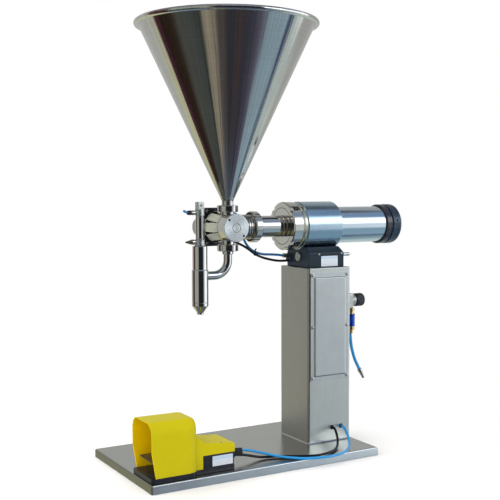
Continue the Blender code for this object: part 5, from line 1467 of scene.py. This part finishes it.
def hood():
    mesh = bmesh.new()

    def make_rings(rows, wall):
        return [[mesh.verts.new(point(*p)) for p in hood_section(*row, wall=wall)]
                for row in rows]

    def bridge(first, second):
        for i in range(len(first) - 1):
            mesh.faces.new((first[i], first[i + 1], second[i + 1], second[i]))

    def close_foot(side):
        """Close the wall's lower edge from the mouth inwards; returns its last two verts."""
        outer = [ring[side] for ring in outside]
        inner = [ring[side] for ring in reversed(inside)]
        i = j = 0
        while i < len(outer) - 1 or j < len(inner) - 1:
            if j >= len(inner) - 1 or (i < len(outer) - 1
                                       and outer[i + 1].co.x <= inner[j + 1].co.x):
                mesh.faces.new((outer[i], outer[i + 1], inner[j]))
                i += 1
            else:
                mesh.faces.new((outer[i], inner[j + 1], inner[j]))
                j += 1
        return outer[-1], inner[-1]

    outside = make_rings(hood_outside(), 0.0)
    inside = make_rings(hood_inside(), HOOD_WALL)
    for skin in (outside, inside):
        for first, second in zip(skin[:-1], skin[1:]):
            bridge(first, second)
    bridge(inside[-1], outside[0])
    # both skins of the +X end wall
    mesh.faces.new(outside[-1])
    mesh.faces.new(inside[0])
    near_outer, near_inner = close_foot(0)
    far_outer, far_inner = close_foot(-1)
    mesh.faces.new((near_outer, near_inner, far_inner, far_outer))

    # Inner faces of the hood get the brighter yellow as painted light.
    def pick(center, normal):
        inward = (PEDAL_Y - center.y) * normal.y + (75.0 - center.z) * normal.z > 2.0
        facing_in = (normal.x < 0.3 and inward) or normal.x < -0.7
        return 1 if center.x > -295.5 and facing_in else 0

    finish(part_from(mesh), "pedal_hood_shell", (YELLOW, YELLOW_PAINTED_LIGHT), "pedal_yellow",
           "pedal_hood", sharp=40, pick=pick)


# ============================================================ foot pedal
PEDAL_FLOOR, PEDAL_PLATE_TOP = 20.3, 31.0
PEDAL_END = -88.0               # +X end of the pedal
PIN = (-204.0, 50.0)            # x, z of the treadle pin
PLUNGER_X = -228.0
PEDAL_BOX_Y = 39.0              # half width of the box at +X
# x, y from the centre plane, fillet; outline of the plate
PLATE_CORNERS = [(-296.0, -53, 7), (-194, -53, 6), (-182.5, -41, 5), (PEDAL_END, -41, 3),
                 (PEDAL_END, 41, 3), (-182.5, 41, 5), (-194, 53, 6), (-296.0, 53, 7)]


def pin_arc(radius, start, stop, step):
    """Section points round the pin, by whole degrees."""
    return [(PIN[0] + radius * cos(radians(a)), PIN[1] + radius * sin(radians(a)))
            for a in range(start, stop, step)]


def pin_hole():
    return cylinder_solid("Y", PIN, 3.3, PEDAL_Y - 60, PEDAL_Y + 60, 32)


def pedal_base():
    y, top, end = PEDAL_Y, PEDAL_PLATE_TOP, PEDAL_END
    outline = filleted_polygon([(x, y + dy, r) for x, dy, r in PLATE_CORNERS], 6)
    part = prism(outline, "Z", PEDAL_FLOOR, top)
    bevel(part, 0.9, 3, 60)
    for i in range(6):          # ribs across the plate, under the hood
        x = -288.0 + 9.0 * i
        join(part, slab("Z", (x, x + 3.2), (y - 44, y + 44), (top - 2, top + 1.1), 1.4,
                        end_edge=0.5, steps=3, edge_steps=2))
    join(part, slab("Z", (-167.0, end), (y - PEDAL_BOX_Y, y + PEDAL_BOX_Y), (top - 3, 60.5),
                    3.0, end_edge=1.2, steps=5))
    for side in (-1, 1):        # lugs for the pin
        start, stop = sorted((y + side * 35.4, y + side * 39.2))
        lug = [(-212, top - 3), (-196, top - 3)] + pin_arc(7, 0, 181, 15)
        join(part, prism(lug, "Y", start, stop))
    cut(part, pin_hole())
    cut(part, cylinder_solid("Z", (PLUNGER_X, y), 5.3, 22.0, 40.0, 40))
    # shallow panel in the box's -Y face
    face = y - PEDAL_BOX_Y
    cut(part, slab("Y", (-164.0, -91.0), (33.6, 58.4), (face - 2, face + 0.35), 2.0, steps=4))
    finish(part, "pedal_base_casting", PEDAL_BLACK, "rubber_black", "pedal_base", sharp=30)
    plate("pedal_plate_blank", "plate_blank_pedal", (-143.5, -92.2), (33.8, 56.2),
          (y - 39.35, y - 38.68), corner=1.0, header=0.60)


def pedal_pin():
    y = PEDAL_Y
    part = lathe("Y", PIN, [(0, y - 39.4), (2.5, y - 39.4), (3.0, y - 38.9), (3.0, y + 38.9),
                            (2.5, y + 39.4), (0, y + 39.4)], 40)
    finish(part, "pedal_pin_shaft", STEEL, "machined_steel", "pedal_pin")


def treadle():
    """Lever from the pin towards -X with cross ribs on its top."""
    y = PEDAL_Y
    outline = pin_arc(6.6, -60, 101, 10) + [
        (-212.0, 57.0), (-224, 58.7), (-240, 60.9), (-262.0, 62.7), (-276, 63.4),
        (-284.0, 63.2), (-286.2, 62.4), (-286.5, 61.2), (-285.6, 59.4), (-284.0, 58.7),
        (-262.0, 57.7), (-238, 54.8), (-214.0, 51.3), (-208.0, 46.0)]
    part = prism(outline, "Y", y - 35.0, y + 35.0)
    for i in range(9):
        x = -281.0 + 7.0 * i
        z = 62.9 if x < -265 else 62.9 - (x + 265) * 0.117
        join(part, slab("Z", (x, x + 2.6), (y - 31.0, y + 31.0), (z - 1.6, z + 0.75), 1.2,
                        end_edge=0.6, steps=3, edge_steps=2))
    cut(part, pin_hole())
    finish(part, "treadle_plate", TREAD_BLACK, "pedal_black", "pedal_treadle",
           body="treadle", sharp=30)


def plunger():
    part = lathe("Z", (PLUNGER_X, PEDAL_Y), [
        (0, 27.3), (5.0, 27.3), (5.0, 46.6, 0.8), (4.6, 48.6, 0.8), (3.5, 50.2, 0.5),
        (1.9, 51.3, 0.3), (0, 51.5)], 48)
    finish(part, "valve_plunger", STEEL, "machined_steel", "pedal_plunger",
           body="pedal_plunger")


def pedal_cover():
    """Hollow yellow cover over the +X box, with four cross-slotted screws."""
    end = PEDAL_END
    outline = filleted_polygon([         # x, z, fillet
        (-185.7, 31.35, 0.4), (-167.7, 31.35, 0.6), (-167.7, 61.1, 0.8), (end, 61.1, 0.8),
        (end, 79.5, 1.2), (-90.0, 81.0, 1.2), (-161.0, 88.5, 14.0), (-185.7, 106.8, 0.6)], 5)
    part = prism(outline, "Y", PEDAL_Y - 41.0, PEDAL_Y + 41.0)
    bevel(part, 1.3, 3, 50)
    cavity = [(-183.1, 22), (-170.2, 22), (-170.2, 56), (end - 2.6, 56), (end - 2.6, 78.0),
              (-161.5, 85.6), (-183.1, 101.6)]
    cut(part, prism(cavity, "Y", PEDAL_Y - 38.4, PEDAL_Y + 38.4))
    # x, y, and z of the sloping top there
    screws = [(x, PEDAL_Y + dy, 88.45 + (-161.0 - x) * 7.5 / 71.0)
              for dy in (-35.0, 35.0) for x in (-160.5, -119.0)]
    for x, y, z in screws:
        cut(part, cylinder_solid("Z", (x, y), 3.5, z - 1.3, z + 5, 32))
    finish(part, "pedal_cover_shell", YELLOW, "pedal_yellow", "pedal_top_cover")
    for i, (x, y, z) in enumerate(screws):
        part = lathe("Z", (x, y), [
            (0, z - 4), (1.6, z - 4), (1.6, z - 1.28), (3.0, z - 1.28), (3.0, z - 0.3, 0.4),
            (2.0, z + 0.25, 0.4), (0, z + 0.3)], 36)
        for dx, dy in ((2.2, 0.35), (0.35, 2.2)):
            cut(part, slab("Z", (x - dx, x + dx), (y - dy, y + dy), (z - 0.5, z + 2), 0.05,
                           steps=1))
        finish(part, "pedal_cover_screw_%d" % (i + 1), STEEL, "machined_steel")


def pedal_gland():
    y, end = PEDAL_Y, PEDAL_END
    part = slab("X", (y - 7.5, y + 7.5), (34.5, 56.5), (end + 0.3, end + 19.0), 2.0,
                end_edge=1.2, steps=4)
    for i in range(4):
        x = end + 4 + 3.4 * i
        for side in (-1, 1):
            edge = y + side * 7.5
            cut(part, slab("X", (edge - 0.7, edge + 0.7), (33, 58), (x, x + 1.5), 0.2, steps=1))
    for z in (50.0, 41.0):
        cut(part, cylinder_solid("X", (y, z), 3.3, end + 8, end + 30, 32))
    finish(part, "pedal_gland_boot", RUBBER, "rubber_black", "pedal_gland", sharp=30)


def pedal_hose_sleeve():
    """Soft ringed sleeve that gathers both hoses on the +X side of the gland."""
    rings = []
    for k in range(23):
        x = -68.9 + k * 1.0
        t = (x + 68.9) / 22.0
        upper, lower = 50.0 - 1.0 * t * t, 41.0 - 3.2 * t * t
        r = 4.9 - 0.5 * t + (0.35 if k % 4 < 2 else -0.15)
        if k in (0, 22):
            r -= 0.8
        half_turn = [(r * cos(pi * i / 14), r * sin(pi * i / 14)) for i in range(15)]
        rings.append([(x, PEDAL_Y + dy, upper + dz) for dy, dz in half_turn]
                     + [(x, PEDAL_Y - dy, lower - dz) for dy, dz in half_turn])
    finish(loft(rings), "pedal_hose_sleeve", RUBBER, "rubber_black", sharp=40)


# ============================================================ hoses
HOSE_RADIUS = 3.0
# stations: x, y from the pedal's centre plane, z
PEDAL_BLUE_PATH = [
    (-79, 0, 50), (-64, 0, 50), (-32, -2, 46), (3, -9, 36), (38, -29, 27.5), (74, -54, 24.2),
    (110, -71, 23.7), (150, -77, 23.7), (190, -69, 24), (222, -47, 26), (246, -16, 34),
    (259, 12, 46), (264, 32, 54.2), (264.5, 43, 55), (264.5, 52, 55), (264.5, 62, 55)]
PEDAL_BLACK_PATH = [
    (-79, 0, 41), (-64, 0, 41), (-34, -1, 34), (3, -4, 25), (40, -13, 23.6), (80, -36, 23.6),
    (122, -54, 23.6), (165, -49, 23.6), (200, -27, 24), (222, -2, 31), (234, 20, 44),
    (237.5, 34, 53.6), (237.5, 43, 54.5), (237.5, 52, 54.5), (237.5, 62, 54.5)]
# stations: x, y, z
VALVE_BLUE_PATH = [
    (168.8, 38.5, 482.0), (155.8, 38.5, 482.0), (148, 40, 483.5), (127, 44, 485.2),
    (104, 46, 486.5), (86, 49.5, 491.5), (71, 50, 499.5), (60, 50, 510), (51, 49, 524),
    (45, 49, 545), (42, 50, 563), (36, 53, 582), (27, 58, 591), (16, 60, 592), (6, 60, 592)]
VALVE_BLACK_PATH = [
    (177.6, 33.0, 469.0), (166.6, 33.0, 469.0), (140, 38, 469.5), (107, 42, 476.5),
    (85, 43, 484.8), (74, 43, 491), (57, 46, 503.5), (42, 53, 513), (28, 60, 519.5),
    (16, 62, 521), (6, 62, 521)]


def hoses():
    for node, stations, material, slot in (
            ("pedal_hose_blue", PEDAL_BLUE_PATH, HOSE_BRIGHT, "hose_blue"),
            ("pedal_hose_black", PEDAL_BLACK_PATH, HOSE_BLACK, "hose_black")):
        path = smooth_path([(x, PEDAL_Y + dy, z) for x, dy, z in stations], 5.0)
        finish(tube(path, HOSE_RADIUS, 28), node + "_skin", material, slot, node)
    for node, stations, material, slot in (
            ("valve_hose_blue", VALVE_BLUE_PATH, HOSE_BLUE, "hose_blue"),
            ("valve_hose_black", VALVE_BLACK_PATH, HOSE_BLACK, "hose_black")):
        path = smooth_path(stations, 3.0)
        finish(tube(path, HOSE_RADIUS, 28), node + "_skin", material, slot, node)


def hose_tie():
    """Band round both valve hoses, its tail pointing up."""
    blue, black = smooth_path(VALVE_BLUE_PATH, 3.0), smooth_path(VALVE_BLACK_PATH, 3.0)
    blue_point = min(blue, key=lambda p: abs(p.x - 80.5))
    index = min(range(len(black)), key=lambda i: abs(black[i].x - 79.0))
    lower = black[index]
    along = (black[index + 1] - black[index - 1]).normalized()
    gap = blue_point - lower
    across = (gap - along * gap.dot(along)).normalized()
    side = along.cross(across).normalized()
    upper = lower + across * gap.dot(across)
    rings = []
    for radius, offset in ((3.1, -1.5), (3.1, 1.5), (4.1, 1.5), (4.1, -1.5)):
        ring = []
        for half, center in enumerate((upper, lower)):
            for i in range(15):
                a = pi * i / 14 + pi * half
                ring.append(tuple(center + side * (radius * cos(a))
                                  + across * (radius * sin(a)) + along * offset))
        rings.append(ring)
    finish(loft(rings, close=True), "hose_tie_band", HOSE_BLACK, "hose_black", sharp=30)
    root = upper + across * 3.6
    lean = Vector((0.62, -0.10, 0.78)).normalized()
    tail = [tuple(root + lean * (i * 1.5)) for i in range(6)]
    finish(tube(tail, 1.7, 8), "hose_tie_tail", HOSE_BLACK, "hose_black", sharp=30)


# ============================================================ CAD pieces kept as they are
KEPT_MATERIALS = {
    "product_piston": SEAL_WHITE, "piston_rod": CHROME, "air_piston": SATIN,
    "stop_screw": STEEL, "valve_rotor": CHROME, "actuator_pinion": STEEL,
    "rack_piston": SATIN, "nozzle_plunger": CHROME}


def kept_pieces():
    for node, material in KEPT_MATERIALS.items():
        part = frame["nodes"][node]
        if part.material_slots:
            for slot in part.material_slots:
                slot.material = material
        else:
            part.data.materials.append(material)


for build in (
        base_tray, base_corner_welds, column, column_foot_weld, access_cover, grommets,
        control_box, box_near_face, exhaust_fitting, flow_screw, box_hose_fitting,
        housing, rear_barrel, end_collar, volume_knob, product_tube, front_ring_nut,
        cylinder_union_nut, valve_body, valve_cover, port_union_nuts, hopper, hopper_seam,
        actuator, actuator_screws, actuator_hose_rings, nozzle_barrel, nozzle_pipe_weld,
        nozzle_tip, air_cylinder, air_fitting, silencer, regulator, regulator_knob,
        slide_valve, supply_hose, hood, pedal_base, pedal_pin, treadle, plunger,
        pedal_cover, pedal_gland, pedal_hose_sleeve, hoses, hose_tie, kept_pieces):
    build()
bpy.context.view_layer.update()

# ============================================================ room, floor, camera
AZIMUTH, TILT, ROLL = radians(29.980), radians(3.546), radians(-0.179)
CAMERA_PLACE = (-1.08421, -1.94785, 0.64098)        # metres
TOWARDS_CAMERA = (-sin(AZIMUTH), -cos(AZIMUTH), 0.0)
CAMERA_RIGHT = (cos(AZIMUTH), -sin(AZIMUTH), 0.0)

# Room colours by bearing in degrees: 0 towards the camera, positive to its right.
LOW_ROOM = [
    (-180, (0.62, 0.70, 0.66)), (-160, (0.62, 0.64, 0.48)), (-140, (0.61, 0.61, 0.39)),
    (-113, (0.61, 0.61, 0.39)), (-109, (0.07, 0.01, 0.03)), (-103, (0.06, 0.02, 0.035)),
    (-101, (0.03, 0.018, 0.014)), (-82, (0.035, 0.022, 0.016)), (-74, (0.082, 0.082, 0.07)),
    (-50, (0.075, 0.085, 0.082)), (-40, (0.03, 0.04, 0.035)), (-30, (0.36, 0.32, 0.24)),
    (-23, (0.33, 0.29, 0.22)), (-12, (0.11, 0.095, 0.085)), (4, (0.038, 0.038, 0.045)),
    (14, (0.036, 0.036, 0.046)), (22, (0.065, 0.048, 0.05)), (36, (0.04, 0.042, 0.06)),
    (50, (0.09, 0.085, 0.12)), (60, (0.15, 0.16, 0.22)), (64, (0.30, 0.41, 0.49)),
    (93, (0.33, 0.46, 0.54)), (96, (0.03, 0.04, 0.13)), (100, (0.05, 0.07, 0.16)),
    (104, (0.52, 0.60, 0.59)), (130, (0.62, 0.70, 0.66)), (180, (0.62, 0.70, 0.66))]
MIDDLE_ROOM = [
    (-180, (0.55, 0.56, 0.54)), (-114, (0.52, 0.53, 0.50)), (-108, (0.12, 0.05, 0.05)),
    (-76, (0.11, 0.05, 0.05)), (-69, (0.45, 0.50, 0.45)), (-21, (0.36, 0.40, 0.34)),
    (-15, (0.02, 0.02, 0.022)), (46, (0.02, 0.02, 0.025)), (53, (0.20, 0.22, 0.25)),
    (60, (0.50, 0.55, 0.59)), (66, (0.82, 0.87, 0.90)), (74, (1.15, 1.2, 1.2)),
    (83, (1.5, 1.55, 1.6)), (117, (1.5, 1.55, 1.6)), (122, (0.45, 0.46, 0.45)),
    (180, (0.55, 0.56, 0.54))]


def bearing_ramp(s, factor, stops):
    made = s.node("ValToRGB", {0: factor})
    elements = made.color_ramp.elements
    elements.remove(elements[-1])
    for i, (bearing, color) in enumerate(stops):
        position = (bearing + 180.0) / 360.0
        element = elements.new(position) if i else elements[0]
        element.position = position
        element.color = (*color, 1.0)
    return made.outputs[0]


def world():
    """A room seen only in reflections; diffuse rays get a soft even light and the camera
    sees white."""
    studio = bpy.data.worlds.new("studio")
    bpy.context.scene.world = studio
    studio.use_nodes = True
    s = Shader(studio.node_tree)
    output = s.node("OutputWorld")
    ray = s.node("TexCoord").outputs["Generated"]
    front = s.dot(ray, TOWARDS_CAMERA)
    right = s.dot(ray, CAMERA_RIGHT)
    rise = s.node("SeparateXYZ", {0: ray}).outputs[2]
    bearing = s.math("DIVIDE", s.math("ARCTAN2", right, front), pi / 180.0)
    height = s.math("DIVIDE", s.math("ARCSINE", rise), pi / 180.0)
    turn = s.math("DIVIDE", s.add(bearing, 180.0), 360.0)

    def off_front(low, high):
        return s.remap(s.math("ABSOLUTE", bearing), low, high)

    low = bearing_ramp(s, turn, LOW_ROOM)
    middle = bearing_ramp(s, turn, MIDDLE_ROOM)
    room = s.mix(s.remap(height, -20.0, -12.0), low, middle)
    # band above 30 degrees, blue-grey to the right and grey to the left and behind
    band = s.mix(off_front(118.0, 128.0), (0.24, 0.33, 0.48), (0.42, 0.43, 0.42))
    band = s.mix(s.remap(bearing, 30.0, -10.0), band, (0.30, 0.31, 0.30))
    room = s.mix(s.remap(height, 27.0, 33.0), room, band)
    # ceiling, dark behind the machine, with a paler patch overhead
    ceiling = s.mix(off_front(100.0, 118.0), (0.34, 0.38, 0.42), (0.05, 0.05, 0.07))
    room = s.mix(s.remap(height, 49.0, 55.0), room, ceiling)
    room = s.mix(s.remap(height, 74.0, 80.0), room, (0.45, 0.47, 0.50))
    # long bright window, right of the camera
    window = s.mul(s.mul(s.remap(bearing, 46.0, 50.0), s.remap(bearing, 82.0, 78.0)),
                   s.mul(s.remap(height, 7.0, 9.5), s.remap(height, 40.0, 22.0)))
    room = s.mix(window, room, (2.9, 3.0, 3.1))
    ground = s.mix(off_front(95.0, 125.0), (0.11, 0.15, 0.21), (0.30, 0.40, 0.43))
    room = s.mix(s.remap(height, -46.0, -53.0), room, ground)
    # light for diffuse rays, stronger about 62 degrees to the left
    soft = s.mix(s.remap(height, -30.0, 80.0, smooth=False),
                 (0.96, 0.96, 0.96), (1.06, 1.06, 1.06))
    strong = s.remap(s.math("ABSOLUTE", s.add(bearing, 62.0)), 75.0, 20.0)
    soft = s.mix(strong, soft, (2.4, 2.3, 2.2))
    rays = s.node("LightPath").outputs
    seen, lit, white = [s.node("Background", {"Color": color, "Strength": 1.0}).outputs[0]
                        for color in (room, soft, (1, 1, 1))]
    shade = s.node("MixShader", {0: rays["Is Diffuse Ray"], 1: seen, 2: lit}).outputs[0]
    shade = s.node("MixShader", {0: rays["Is Camera Ray"], 1: shade, 2: white}).outputs[0]
    s.link(shade, output.inputs[0])
    studio.cycles.sampling_method = "NONE"


def floor():
    """Pale floor that fades to pure white away from the machine."""
    mesh = bmesh.new()
    bmesh.ops.create_grid(mesh, x_segments=2, y_segments=2, size=9.0)
    data = bpy.data.meshes.new("floor")
    mesh.to_mesh(data)
    mesh.free()
    ground = bpy.data.objects.new("floor", data)
    bpy.context.collection.objects.link(ground)
    ground.location = (0, 0, -0.0003)
    ground.visible_glossy = False
    material = bpy.data.materials.new("floor_pale")
    material.use_nodes = True
    s = Shader(material.node_tree)
    output = s.node("OutputMaterial")
    where = s.node("TexCoord").outputs["Object"]
    distance = s.node("VectorMath", {0: where}, operation="LENGTH").outputs["Value"]
    fade = s.remap(distance, 0.26, 0.85)
    color = s.mix(s.noise(s.coords(), scale=40.0, detail=3.0),
                  (0.90, 0.90, 0.90), (0.93, 0.93, 0.93))
    pale = s.node("BsdfDiffuse", {"Color": color}).outputs[0]
    white = s.node("Emission", {"Color": (1, 1, 1), "Strength": 1.0}).outputs[0]
    s.link(s.node("MixShader", {0: fade, 1: pale, 2: white}).outputs[0], output.inputs[0])
    data.materials.append(material)


def camera():
    forward = Vector((sin(AZIMUTH) * cos(TILT), cos(AZIMUTH) * cos(TILT), -sin(TILT)))
    level = Vector(CAMERA_RIGHT)
    upright = level.cross(forward)
    right = level * cos(ROLL) + upright * sin(ROLL)
    up = upright * cos(ROLL) - level * sin(ROLL)
    data = bpy.data.cameras.new("camera")
    data.lens = 66.89
    data.sensor_width = 36.0
    data.sensor_fit = "HORIZONTAL"
    data.clip_start = 0.05
    data.clip_end = 60.0
    viewer = bpy.data.objects.new("camera", data)
    bpy.context.collection.objects.link(viewer)
    matrix = Matrix.Identity(4)
    for i in range(3):
        matrix[i] = (right[i], up[i], -forward[i], CAMERA_PLACE[i])
    viewer.matrix_world = matrix
    scene = bpy.context.scene
    scene.camera = viewer
    scene.view_settings.view_transform = "Standard"
    scene.view_settings.look = "None"


world()
floor()
camera()
